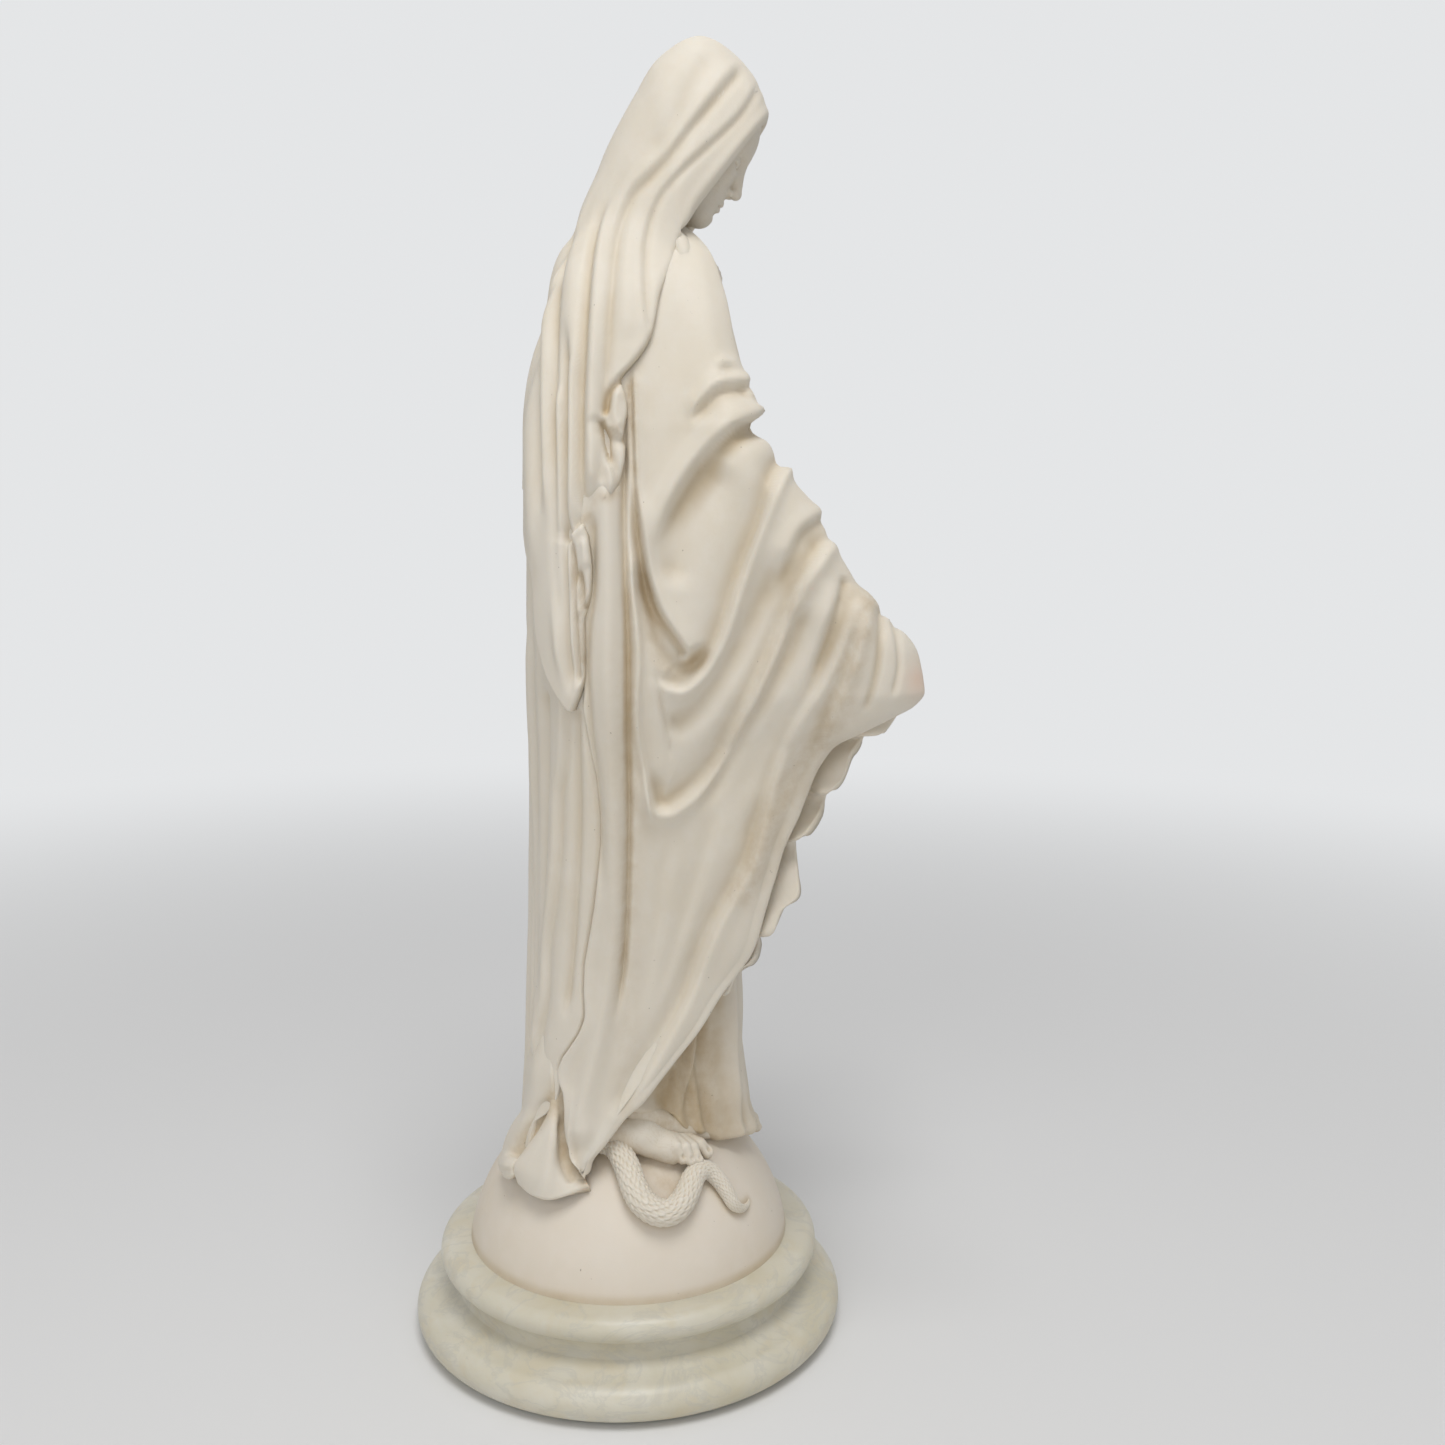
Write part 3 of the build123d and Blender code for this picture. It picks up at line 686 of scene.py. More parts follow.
def place_on(line_heights, line_y, low=1.0, high=6.0):
    """Where the cloak's outline meets a line on the drawing board: a function of height."""
    tries = np.linspace(low, high, 241)
    heights = np.linspace(60, 442, 192)
    shown, _ = board(mantle_at(tries[None, :], heights[:, None]))
    wanted = np.interp(heights, line_heights, line_y)
    found = np.array([np.interp(-w, -row, tries) for w, row in zip(wanted, shown)])
    return lambda z: np.interp(z, heights, found)


# The crease where a side panel laps the back panel: height, and y on the drawing board.
lap_heights = [60, 77, 80, 83, 86, 92, 98, 104, 110, 114, 117, 119, 124, 129, 135, 141, 146, 151, 162, 172,
               184, 197, 210, 220, 234, 247, 259, 277, 320, 380, 442]
lap_line = [14.5, 15, 17.5, 19.6, 21.5, 23.2, 23.9, 23.9, 24.5, 26, 26.6, 26.4, 24.6, 21.6, 18.2, 16.2, 16.3,
            16.6, 16.2, 14.5, 12.5, 11, 10, 10, 11.5, 14, 16, 15.5, 17, 12, 2]
lap_place = place_on(lap_heights, lap_line)

# Folds of the side panel: a line on the drawing board, the fold's height and width, for a lip also
# the depth and width of the hollow beside it, how far it eases at each end, and for a lip which
# side is raised and how soft its edge is.
side_folds = [
    ([(-41, 378.5), (-36, 381), (-31, 380)], 1.4, 3.0, 1.4, 3, 5, 5, 1, 0.5),
    ([(-45, 374), (-41, 374), (-33, 373), (-27.5, 368), (-22, 361)], 2.6, 4.5, 2.4, 3.5, 3, 8, 1, 0.6),
    ([(-50, 366), (-46.8, 362.5), (-40.8, 360.2), (-34, 355), (-27, 347.6), (-20.7, 339), (-15.5, 329.4),
      (-12, 320.2), (-9.5, 311)], 4.2, 7.0, 4.0, 6.0, 3, 26, 1, 0.95),
    ([(-36, 349), (-28, 337), (-22, 325), (-18, 312), (-15, 301)], -3.0, 6.5, 10, 10),
    ([(-9.5, 272.5), (-12, 268.8), (-15.4, 267.3), (-20.1, 266.7), (-24.8, 269.7), (-30.1, 276.7),
      (-33.6, 283.2), (-36.5, 291.3), (-39.3, 300.7), (-43.4, 312.3), (-46.8, 321.5), (-50.2, 330.7),
      (-53.1, 338.7), (-56.2, 345), (-60, 349)], 3.4, 3.6, 3.4, 6.5, 12, 4, 1, 0.8),
    ([(-74, 330), (-68, 327), (-63, 323), (-60, 317.5), (-56, 309), (-53, 298)],
     1.8, 4.5, 2.4, 4.5, 5, 14, 1, 1.0),
    ([(-76, 322), (-72, 318), (-68, 312), (-62.2, 303), (-56.5, 289), (-50.7, 275), (-44.8, 262), (-39, 250),
      (-34.3, 240.5), (-27.2, 231), (-20, 225), (-14.5, 221.8), (-10.6, 222.6), (-8.6, 228), (-7.6, 238)],
     3.6, 4.8, 3.4, 6.0, 8, 12, -1, 0.9),
    ([(-57, 318), (-55, 312), (-48, 296), (-41, 281), (-34, 269), (-26, 258.4), (-19, 253), (-13, 251)],
     -3.6, 4.6, 14, 6),
    ([(-66, 298), (-62.3, 289), (-57.7, 277), (-50.8, 263), (-43.7, 251), (-37.8, 240.5), (-31.9, 229.7),
      (-24, 219)], -3.0, 3.2, 10, 16),
    ([(-78, 306), (-72, 290), (-66, 272), (-62.7, 260.6), (-58, 251), (-53.3, 241.6), (-49.8, 232),
      (-46.9, 224.8), (-42, 212)], 2.4, 4.0, 16, 18),
    ([(-88, 303), (-84, 299), (-80, 290), (-75, 278), (-69, 266), (-63, 256), (-57, 244), (-52, 230),
      (-48.5, 215), (-44.5, 201), (-39, 190), (-33, 179), (-28, 167), (-22, 151), (-15.5, 138), (-10.5, 129),
      (-5, 119), (0, 109), (4, 101)], 2.6, 4.6, 3.8, 5.6, 10, 12, -1, 1.1),
    ([(-88, 300), (-86, 293), (-83.5, 282), (-80, 270), (-75, 257), (-70, 243), (-66, 232)],
     1.4, 3.6, 2.2, 3.6, 8, 18, -1, 1.0),
    ([(-2.4, 381), (-2.6, 368.8), (-3.1, 347.5), (-3.8, 332), (-5.2, 320)],
     1.8, 3.4, 1.6, 1.2, 10, 12, -1, 0.5),
    ([(-3.4, 340), (-4.2, 330.5), (-6.0, 316.8), (-8.5, 302.9), (-11.4, 294.8), (-15.4, 288.4),
      (-19.5, 282.6), (-22.5, 277.5)], 3.8, 6.0, 5.4, 3.2, 20, 3, -1, 0.6),
    ([(-4.6, 314), (-6.6, 303), (-8.8, 293.5), (-12, 283.5), (-16.2, 277), (-21, 274), (-26, 276),
      (-29.5, 282)], -3.6, 3.0, 14, 8),
    ([(-2.1, 318), (-2.1, 305.2), (-3.6, 289), (-4.3, 275), (-3.6, 263), (-4.2, 249), (-6.0, 237),
      (-8.0, 226), (-9, 214)], 2.2, 1.7, 10, 10),
    ([(0.2, 372), (0.3, 347.4), (0.8, 330.4), (0.5, 313.3), (-0.1, 296), (-0.5, 278.5), (-0.4, 260.9),
      (-0.3, 243), (-0.6, 226), (0, 195), (1.5, 165), (5, 140)], -2.8, 1.3, 30, 20),
    ([(8, 350), (6.6, 330), (6, 300), (6.3, 275), (5.8, 250), (4.8, 226), (4.5, 205), (5, 180), (7, 160),
      (10, 140), (14, 122), (18, 104), (18, 90)], 3.4, 4.2, 16, 10),
    ([(11.5, 330.4), (11.6, 319), (11.8, 301.8), (13.6, 289), (14.3, 272.7), (13.8, 261), (12.8, 249.2),
      (11.1, 237.3), (10, 226.5), (9.4, 205), (10, 185)], -2.2, 1.7, 8, 24),
    ([(-9.6, 273.8), (-11.9, 264.4), (-13.6, 254.9), (-15.4, 245.4), (-16, 238)], -1.1, 1.1, 9, 8),
    ([(-92.6, 295), (-92.8, 286), (-92.1, 275.7), (-89.5, 263.7), (-86.4, 255.6)], -1.6, 1.5, 1, 6),
    ([(-97.4, 291), (-99.2, 283), (-99.8, 273.3), (-96.9, 261)], -1.1, 1.2, 1, 6),
    ([(-79.9, 307), (-78.8, 301), (-75.4, 291.6), (-71.5, 279.7), (-67, 268)], -1.8, 1.8, 2, 10),
    ([(-86.4, 300), (-85.9, 288), (-83.6, 276), (-80.6, 264)], 1.2, 4.2, 4, 10),
    ([(-18, 212), (-14, 196), (-12, 178), (-9, 160), (-5, 142)], 1.1, 5.5, 0.9, 5, 14, 18, -1, 1.6),
    ([(-36, 226), (-31, 210), (-26.5, 194), (-21, 176), (-15, 158), (-8, 140)],
     1.2, 5.0, 1.0, 5, 16, 18, -1, 1.6),
    ([(-60, 222), (-56, 210), (-52.5, 198), (-49, 186)], -0.8, 2.4, 8, 8),
]

row_share = spaced(327, 5)[:, None]
counts = [(2.8, 3, 9), (3, 4, 48), (4, 5, 48), (5, 6, 50), (6, 7, 26), (7, 8, 22), (8, 9, 18), (9, 10, 16)]
column_place = np.concatenate([np.linspace(a, b, n, endpoint=False) for a, b, n in counts] + [[10.0]])
side_hem = smooth_table([2.8, 3.0, 4.0, 5.0, 6.0, 6.7, 7.0, 8.0, 10.0],
                        [78.6, 78.6, 78.6, 78.8, 79, 79.4, 80, 82, 86], column_place)[None, :]
side_top = 441
side_height = side_hem + (side_top - side_hem) * row_share
lap = lap_place(side_height)
places = column_place[None, :]
side_q = np.where(places < 4, lap + (places - 2.8) / 1.2 * (4 - lap), places)
side_q = np.maximum(side_q, lap + 0.15 * (places - 2.8))
side_base = mantle_at(side_q, side_height)
by, bz = board(side_base)
outside = 1 - smooth_step(6.9, 7.5, side_q)
side_relief = fold_sum(side_folds, by, bz, outside)
rolled = hill(side_q - 6.75, 0.55) * (1 - smooth_step(225, 250, side_height))
side_relief += 1.6 * (rolled * smooth_step(84, 110, side_height))
inside_pleats = 1.5 * np.sin(side_height / 11 + side_q * 2.2) * smooth_step(7.6, 8.6, side_q)
side_relief += inside_pleats * (1 - smooth_step(300, 400, side_height))
lap_gap = (side_q - lap) * 19.0
side_relief += 1.5 * hill(lap_gap, 6)
edge_round = 1.5
side_relief -= eased(side_height - side_hem, edge_round)
side_relief -= eased(lap_gap, edge_round)
side_outer, side_normal, side_hollow = carved(side_base, side_relief, (5, 5), 0.42)
thick = 3.2 + 1.6 * smooth_step(90, 130, side_height) - 2.4 * smooth_step(385, 412, side_height)
side_inner = side_outer - side_normal * thick[..., None]
# Painted shade: the side panel darkens towards its hem over the globe.
side_hollow = np.clip(side_hollow + 0.35 * (1 - smooth_step(74, 100, side_height)), 0, 1)
tip_stain = np.exp(-(((by + 107) / 5) ** 2 + ((bz - 269) / 6) ** 2))


def mirrored(grid):
    """The same grid on the other side of the figure, its columns in the other order."""
    other = grid.copy()
    other[..., 0] *= -1
    return other[:, ::-1]


# Old varnish mixed with painted shade keeps to the deep folds, and one line is the painted shadow of the
# veil's hem on the cloak: a line on the drawing board, how wide and how strong.
side_varnish_and_shade = [
    ([(-88, 300), (-83.5, 282), (-78, 262), (-70, 246), (-60, 232), (-50, 208), (-42, 190)], 6, 0.75),
    ([(-63, 300), (-54, 280), (-45, 259), (-33, 240)], 6, 0.35),
    ([(-3.1, 375), (-3.2, 352.6), (-4.0, 330), (-5.9, 309), (-9.5, 297)], 1.5, 0.85),
    # Painted shadow cast by the veil's hem on the cloak.
    ([(-2.6, 378), (-0.9, 365), (0.3, 350.3), (1.5, 340.5), (3.4, 335.9), (6.5, 334), (10.3, 334),
      (11.9, 330.6), (14.2, 326.8), (17.6, 323), (18.8, 319.2), (17.8, 310.8), (17.3, 303.1), (16.4, 295.4),
      (16.1, 284.6), (17.5, 270)], 1.9, 0.8),
    ([(-6, 305), (-9, 290), (-12, 276), (-18, 271), (-24, 275)], 3.5, 0.5),
    ([(-0.5, 300), (-0.5, 250), (-1, 215), (2, 165)], 1.8, 0.5)]
side_stain_and_shade = sum(beside(points, by, bz, wide) * strong for points, wide, strong in side_varnish_and_shade) * outside
low_middle = smooth_step(-8, -2, by) * (1 - smooth_step(2, 10, by)) * (1 - smooth_step(250, 330, bz))
side_stain_and_shade += 0.25 * low_middle * outside
side_right = cloth("mantle_right", side_outer, side_inner, side_hollow, side_stain_and_shade, 3, tip_stain * outside)
side_left = cloth("mantle_left", mirrored(side_outer), mirrored(side_inner), side_hollow[:, ::-1],
                  side_stain_and_shade[:, ::-1])

back_columns = 300
across = np.linspace(1, -1, back_columns + 1)[None, :]
back_hem = smooth_table([0, 0.2, 0.4, 0.55, 0.68, 0.8, 0.9, 1.0], [82, 80, 83, 81, 79, 79.5, 78.5, 78],
                        np.abs(across))
back_top, back_thick = 425, 3.4
back_height = back_hem + (back_top - back_hem) * spaced(282, 5)[:, None]
pleat_heights = [60, 80, 84, 90, 95, 100, 106, 112, 118, 125, 132]
pleat_place = place_on(pleat_heights, [46, 44.5, 43, 39.5, 35.2, 31, 27.4, 26.2, 26.4, 24, 20], 0.6)
past_pleat = smooth_step(112, 134, back_height)
under_lap = 0.28
back_end = np.maximum(pleat_place(back_height), 2.0) * (1 - past_pleat)
back_end += (lap_place(back_height) + under_lap) * past_pleat
back_q = np.abs(across) * back_end
back_base = mantle_at(back_q, back_height)
back_base[..., 0] *= -np.sign(across) + (across == 0)
by, bz = board(back_base)
tuck = smooth_step(lap_place(back_height) - 0.10, lap_place(back_height) + 0.12, back_q)
tuck *= smooth_step(112, 120, back_height)
back_folds = [
    ([(22, 285), (22.5, 250), (23, 240), (25, 228), (26, 206), (28, 188), (30.5, 171), (31.5, 152), (33, 142),
      (35, 129), (38, 109)], 1.5, 3.5, 1.6, 2.6, 12, 14, 1, 0.5),
    ([(18.4, 262), (18.4, 240), (18.2, 220), (19.5, 190), (21, 170), (24, 140)], -2.4, 1.8, 6, 14),
    ([(30.3, 268), (30.3, 249), (31, 226), (32.5, 200), (34.5, 170), (37.5, 135), (40, 112)],
     -2.6, 1.7, 6, 10),
    ([(33, 290), (33.5, 250), (34.5, 220), (36.5, 190), (38, 165), (40, 140), (43, 112), (45, 96)],
     2.0, 2.2, 1.6, 2.0, 14, 10, 1, 0.6),
]
back_relief = fold_sum(back_folds, by, bz) * smooth_step(8, 20, np.abs(back_base[..., 0]))
round_back = 1 - smooth_step(0.45, 0.75, np.abs(across))
lean = back_q * np.sign(across) / (lap_place(np.maximum(back_height, 134)) + under_lap)
lean += 0.02 * np.sin(back_height / 45)
for middle, wide, high in ((-0.53, 0.05, 1.6), (-0.36, 0.055, 2.6), (-0.21, 0.04, 1.6), (-0.05, 0.055, 2.8),
                           (0.10, 0.04, 1.5), (0.23, 0.05, 2.4), (0.40, 0.055, 2.2), (0.54, 0.045, 1.6)):
    drift = middle * (1 + 0.12 * np.sin(back_height / 60 + middle * 9))
    drift += 0.02 * np.sin(back_height / 28 + middle * 20)
    back_relief += high * hill(lean - drift, wide) * (1 - smooth_step(0.55, 0.72, np.abs(across)))
back_relief -= round_back
back_relief -= 3.2 * tuck
flare = smooth_step(0.62, 0.97, np.abs(across)) * (1 - smooth_step(82, 106, back_height))
back_relief += 3.5 * flare
back_relief -= eased(back_height - back_hem, edge_round)
back_outer, back_normal, back_hollow = carved(back_base, back_relief, (5, 4), 0.45)
back_inner = back_outer - back_normal * back_thick
# Painted shade: the back panel darkens towards its hem over the globe.
back_hollow = np.clip(back_hollow + 0.35 * (1 - smooth_step(78, 104, back_height)), 0, 1)
back_panel = cloth("mantle_back", back_outer, back_inner, back_hollow)
for piece in (side_right, side_left, back_panel):
    cast_in(piece, "mantle")

# ======================================================================================
# Veil: one sheet of cloth cast over the head. It frames the face, spreads over the
# shoulders and ends in a point on each side, its front border falling in small zigzags.
# ======================================================================================
# The rows of the hood, each across the head: y and z of its middle, y and z of its two ends on
# the cloth's front border, and half its width.
hood_rows = column([
    (-54.5, 476, -23, 435, 20.5), (-52.5, 487, -22.5, 434, 22), (-44, 499, -22, 433, 23.5),
    (-29, 507, -21.5, 432, 25), (-13, 498.5, -21, 430.5, 26), (-4, 485, -20.5, 429, 26),
    (5, 469, -20, 427, 26.5), (12.5, 453, -19, 424, 28), (18.8, 440, -18.2, 420.5, 31),
    (25.6, 427, -15.6, 414, 37), (30.6, 412.5, -12.8, 406, 43.5), (34.2, 394, -10.6, 394, 48.5),
    (37.2, 376, -7, 384, 50)])
veil_edge_heights = [255, 259.2, 263.4, 269.2, 277.4, 284.4, 291.4, 298.3, 302.9, 311, 316.7, 322.4, 325.8,
                     328.7, 331.5, 333, 334.6, 337, 340.6, 346.3, 351.9, 354, 357.6, 363.2, 368.8, 373, 376,
                     380, 383, 387, 392, 398, 405, 413, 421, 440]
veil_edge_line = [18.8, 18.4, 16.7, 15.2, 14.9, 14.6, 14.7, 12.9, 12.1, 11.7, 12.2, 13.3, 15.0, 13.8, 11.8,
                  8.2, 5.0, 3.0, 1.7, 0.3, -0.1, 0.9, 0.3, -1.0, -0.6, 1.2, 1.4, -2.6, -5.0, -7.6, -9.6,
                  -10.6, -11.6, -13.2, -16, -19]
veil_front = place_on(veil_edge_heights, veil_edge_line)
half_columns, hood_count, fall_count = 150, 140, 148
# Places across the veil: 0 behind, the cloak's own places up to veil_turned, then on to its border.
veil_last, veil_turned, last_stretch = 3.15, 2.3, 0.85
veil_thick, veil_off_cloak = 3.0, 4.2
veil_place = veil_last * np.linspace(0, 1, half_columns + 1) ** 0.9
veil_place[-4:] = veil_last - np.array([1.1, 0.6, 0.25, 0]) * (veil_last - veil_place[-4])
veil_hem_line = [339, 337.5, 340, 337, 325, 313, 304, 286, 277, 270.5, 266, 262.5, 260.4, 259.4, 259.2]
veil_hem = smooth_table([0, 0.5, 0.9, 1.2, 1.55, 1.85, 2.08, 2.18, 2.3, 2.45, 2.62, 2.8, 2.95, 3.06, 3.15],
                        veil_hem_line, veil_place)


def veil_q(place, z):
    """The cloak's place under a place across the veil, whose last stretch ends at its front border."""
    past_turn = (place - veil_turned) * (veil_front(z) - veil_turned) / last_stretch
    return np.where(place < veil_turned, place, veil_turned + past_turn)


# Round the shoulders the hood's ring meets the cloak's at one height, so the two share their columns there.
meet_high = np.full(veil_place.shape, 386.0)
meet = mantle_at(veil_q(veil_place, meet_high), meet_high)[:, 1]
fall = np.clip((meet[0] - meet) / (meet[0] - meet[-1]), 0, 1)
swing = np.arccos(np.clip((1 - fall) ** 1.15, 0, 1))
swing = np.maximum.accumulate(0.35 * swing + 0.65 * math.pi / 2 * np.linspace(0, 1, half_columns + 1))
swing[-1] = math.pi / 2
last_hood_row = 12
hood_at = np.linspace(0, last_hood_row, hood_count + 1)
hood = through(hood_rows, hood_at)[:, None, :]
oval = 0.87
round_over = 1 - np.cos(swing[None, :]) ** oval
hood_grid = np.stack([
    -hood[..., 4] * np.sin(swing[None, :]) ** oval,
    hood[..., 0] + (hood[..., 2] - hood[..., 0]) * round_over,
    hood[..., 1] + (hood[..., 3] - hood[..., 1]) * round_over], axis=-1)
last = hood_grid[-1, :, 2]
drop = spaced(fall_count, 0, 5, 0.35)[1:, None]
fall_z = last[None, :] + (veil_hem[None, :] - last[None, :]) * drop
veil_z = np.concatenate([hood_grid[..., 2], fall_z])
within = np.clip(veil_z, 250, 440)
lower_grid = mantle_at(veil_q(np.broadcast_to(veil_place[None, :], veil_z.shape), within), within)
lower_grid[..., 2] = veil_z
lower_grid -= normals_of(lower_grid) * veil_off_cloak
rows_down = np.concatenate([hood_at, np.full(fall_count, float(last_hood_row))])
settle = smooth_step(8.2, last_hood_row, rows_down)[:, None, None]
hood_all = np.concatenate([hood_grid, lower_grid[hood_count + 1:]])
veil_half = hood_all * (1 - settle) + lower_grid * settle
veil_half = np.concatenate([veil_half[:, :1] * [0, 1, 1], veil_half[:, 1:]], axis=1)
veil_base = np.concatenate([(veil_half * [-1, 1, 1])[:, :0:-1], veil_half], axis=1)[::-1]
for _ in range(2):
    veil_base[:, 1:-1] = veil_base[:, 1:-1] * 0.5 + (veil_base[:, :-2] + veil_base[:, 2:]) * 0.25
by, bz = board(veil_base)
veil_folds = [
    ([(-40.5, 483.5), (-39, 480.5), (-34.1, 474.7), (-28.1, 467.7), (-22.1, 460.7), (-16.1, 453.1),
      (-8.9, 445.4), (-2.2, 438.4), (1.4, 430.2), (3.9, 420.8), (5.2, 410.3), (6.5, 397.3), (7.4, 385.5),
      (8.3, 369.9), (9.0, 352), (10, 338)], 1.3, 4.0, 2.2, 2.8, 6, 5, 1, 0.8),
    ([(-46.5, 477), (-45.5, 474.4), (-41.3, 467.4), (-35.3, 461), (-28.1, 454.5), (-19.7, 446.8),
      (-12.5, 438.6), (-8.8, 430.4), (-7, 422.2), (-6.6, 412.8), (-6.9, 403.4), (-8.3, 392)],
     0.8, 2.8, 1.5, 2.0, 5, 4, 1, 0.7),
    ([(-31.7, 487.7), (-26.9, 481.3), (-22.1, 473.2), (-17.9, 464), (-12, 455), (-5, 447)], -1.1, 4.0, 8, 12),
    ([(-4, 436), (-1.5, 426), (-0.6, 415), (-0.4, 402), (-1, 388)], 1.1, 3.6, 14, 8),
    ([(0, 446), (4.6, 437), (7.6, 427), (9.2, 416), (10.2, 405), (11, 393), (11.6, 380), (12, 365),
      (12.3, 348), (12, 334)], 1.8, 2.0, 20, 14),
    ([(-3, 450), (3.4, 440), (8.1, 431), (11.5, 419.5), (13, 408.5), (14, 396), (14.7, 384.2), (15.8, 369.9),
      (16, 350), (16.2, 338), (16.4, 327)], -2.3, 1.9, 26, 12),
    ([(5, 449), (11, 440), (15.5, 430), (18, 417), (19, 404), (19.2, 392), (19, 382)], 0.9, 2.4, 20, 6),
    ([(6, 453), (12.5, 442), (17, 432.6), (20.4, 421.7), (23.3, 410), (24.6, 395.9), (25.1, 384.1),
      (25.6, 369.8), (25.6, 350), (25.4, 333), (25.2, 316), (25, 300), (24, 280)], -2.3, 1.6, 26, 22),
    ([(14, 444), (20, 431), (23.6, 420), (26, 408), (27.6, 395), (28, 380), (28.2, 365), (28, 348),
      (27.8, 325)], 1.5, 1.5, 22, 18),
    ([(20, 430), (24.4, 417), (27.8, 407), (29.7, 395.8), (30.6, 384), (31.2, 369.7), (31, 350), (30.6, 325)],
     -1.8, 1.4, 20, 18),
    ([(20.8, 398), (21.1, 385), (21.4, 375), (21.9, 353), (22.4, 330), (22, 312),
      (21.6, 296), (21.2, 279), (20.2, 262)], -2.8, 1.7, 16, 12),
    ([(17.6, 392), (18.4, 382), (18.9, 370), (19, 350), (19.2, 338), (19.8, 322), (20.0, 300), (19.2, 270)],
     1.8, 1.7, 14, 16),
    ([(2.4, 373), (3.6, 367.4), (3.2, 361.5), (1.2, 358.6)], 1.3, 1.7, 3, 2),
    ([(-2.5, 378), (0.4, 376.4), (3.4, 374.3), (5.4, 371.5), (6.4, 367.4), (7.0, 363.5)], -2.4, 1.2, 2, 2),
    ([(8.6, 362.2), (7.4, 358.5), (6.7, 354.0), (6.0, 350.2), (5.6, 345)], -1.7, 1.0, 1, 4),
    ([(10, 364), (8.2, 360.6), (6.7, 358.8), (4.8, 357.9), (2.5, 356.6), (0.4, 355.6), (-1.5, 355)],
     1.2, 1.8, 2.0, 4.0, 3, 0, -1, 0.4),
    ([(8.2, 357.5), (7.0, 350.8), (5.2, 345.1), (4.0, 340.6), (4.4, 335)], 1.2, 2.4, 2.6, 2.8, 3, 1, 1, 0.4),
    ([(9.5, 333.8), (12.1, 332.2), (13.8, 328.9), (16.7, 324.7), (19.3, 321.4), (20.6, 317)],
     1.4, 2.2, 3.6, 4.5, 0, 4, -1, 0.35),
    ([(20.2, 322), (19.0, 314.4), (18.6, 309), (19.2, 300), (18.7, 290), (18.2, 276), (17.9, 266)],
     -3.2, 1.0, 2, 5),
    ([(14.6, 321), (14.3, 314), (14.2, 309)], 1.5, 1.8, 3, 3),
    ([(17.2, 309.5), (16.0, 303), (15.9, 297.5), (15.0, 294)], -2.8, 1.1, 2, 2),
    ([(13.0, 300), (15.8, 295.4), (17.4, 292)], 0.9, 1.4, 1.6, 2.2, 1, 2, 1, 0.4),
    ([(23.6, 375), (23.8, 352), (24.4, 330), (25, 312), (25.4, 298), (24.6, 282), (22.0, 264)],
     1.6, 1.6, 8, 18),
    ([(33.5, 398), (34.5, 380), (34.5, 360), (34, 345), (33.4, 325), (33, 305)], 1.5, 2.0, 14, 20),
]
veil_relief = fold_sum(veil_folds, by, bz)
veil_across = np.concatenate([-veil_place[:0:-1], veil_place])[None, :]
hood_down = rows_down[::-1, None]
back_amount = smooth_step(6.5, 10.5, hood_down) * (1 - smooth_step(1.15, 1.7, np.abs(veil_across)))
veil_high = veil_base[..., 2]
for middle, wide, high in ((-1.2, 0.16, 1.6), (-0.72, 0.17, 2.2), (-0.22, 0.18, 2.0), (0.30, 0.16, 2.3),
                           (0.80, 0.17, 1.8), (1.25, 0.15, 1.5)):
    centre = middle * (0.92 + 0.10 * smooth_step(420, 340, veil_high))
    drift = veil_across - centre + 0.05 * np.sin(veil_high / 30)
    veil_relief += (high * hill(drift, wide) - 0.25 * high) * back_amount
border_gap = (veil_last - np.abs(veil_across)) * (17 + 5 * smooth_step(9, last_hood_row, hood_down))
face_gap = np.linalg.norm(veil_base[-1:] - veil_base, axis=-1)
hem_gap = np.linalg.norm(veil_base - veil_base[:1], axis=-1)
rim = np.maximum.reduce([eased(gap, edge_round) for gap in (border_gap, face_gap, hem_gap)])
veil_relief += hill(face_gap - 4.0, 2.4) - rim
veil_outer, veil_normal, veil_hollow = carved(veil_base, veil_relief, (5, 4), 0.5)
veil_inner = veil_outer - veil_normal * veil_thick
# Painted shade under the veil's folds, mixed with old varnish in its hollows: a line on the drawing board,
# how wide and how strong.
veil_stain_and_shade = np.zeros(by.shape)
for points, wide, strong in (
        ([(-5.2, 381.6), (-2.1, 377.9), (2.4, 375.2), (5.1, 371.9), (6.4, 367.4), (7.0, 364)], 1.3, 1.0),
        ([(-2.5, 377.9), (-2.0, 374.2), (-0.7, 370.4)], 1.6, 0.8),
        ([(8.6, 362.2), (7.4, 358.5), (6.7, 354), (6.0, 350.2)], 1.1, 0.9),
        ([(5.2, 358.8), (2.1, 357.7), (0.6, 354.8)], 1.2, 0.6),
        ([(20, 322), (18.6, 314), (18.4, 304), (17.6, 292), (17, 276)], 1.1, 0.9),
        ([(16.6, 309), (15.6, 302), (15, 296)], 1.2, 0.7)):
    veil_stain_and_shade = np.maximum(veil_stain_and_shade, strong * beside(points, by, bz, wide))
cast_in(cloth("veil_sheet", veil_outer, veil_inner, veil_hollow, veil_stain_and_shade), "veil")

# ======================================================================================
# Small folds of the cloak: a box pleat opens over the globe where each side panel laps
# the back, and the front border turns over in a run of zigzags below each hand.
# ======================================================================================


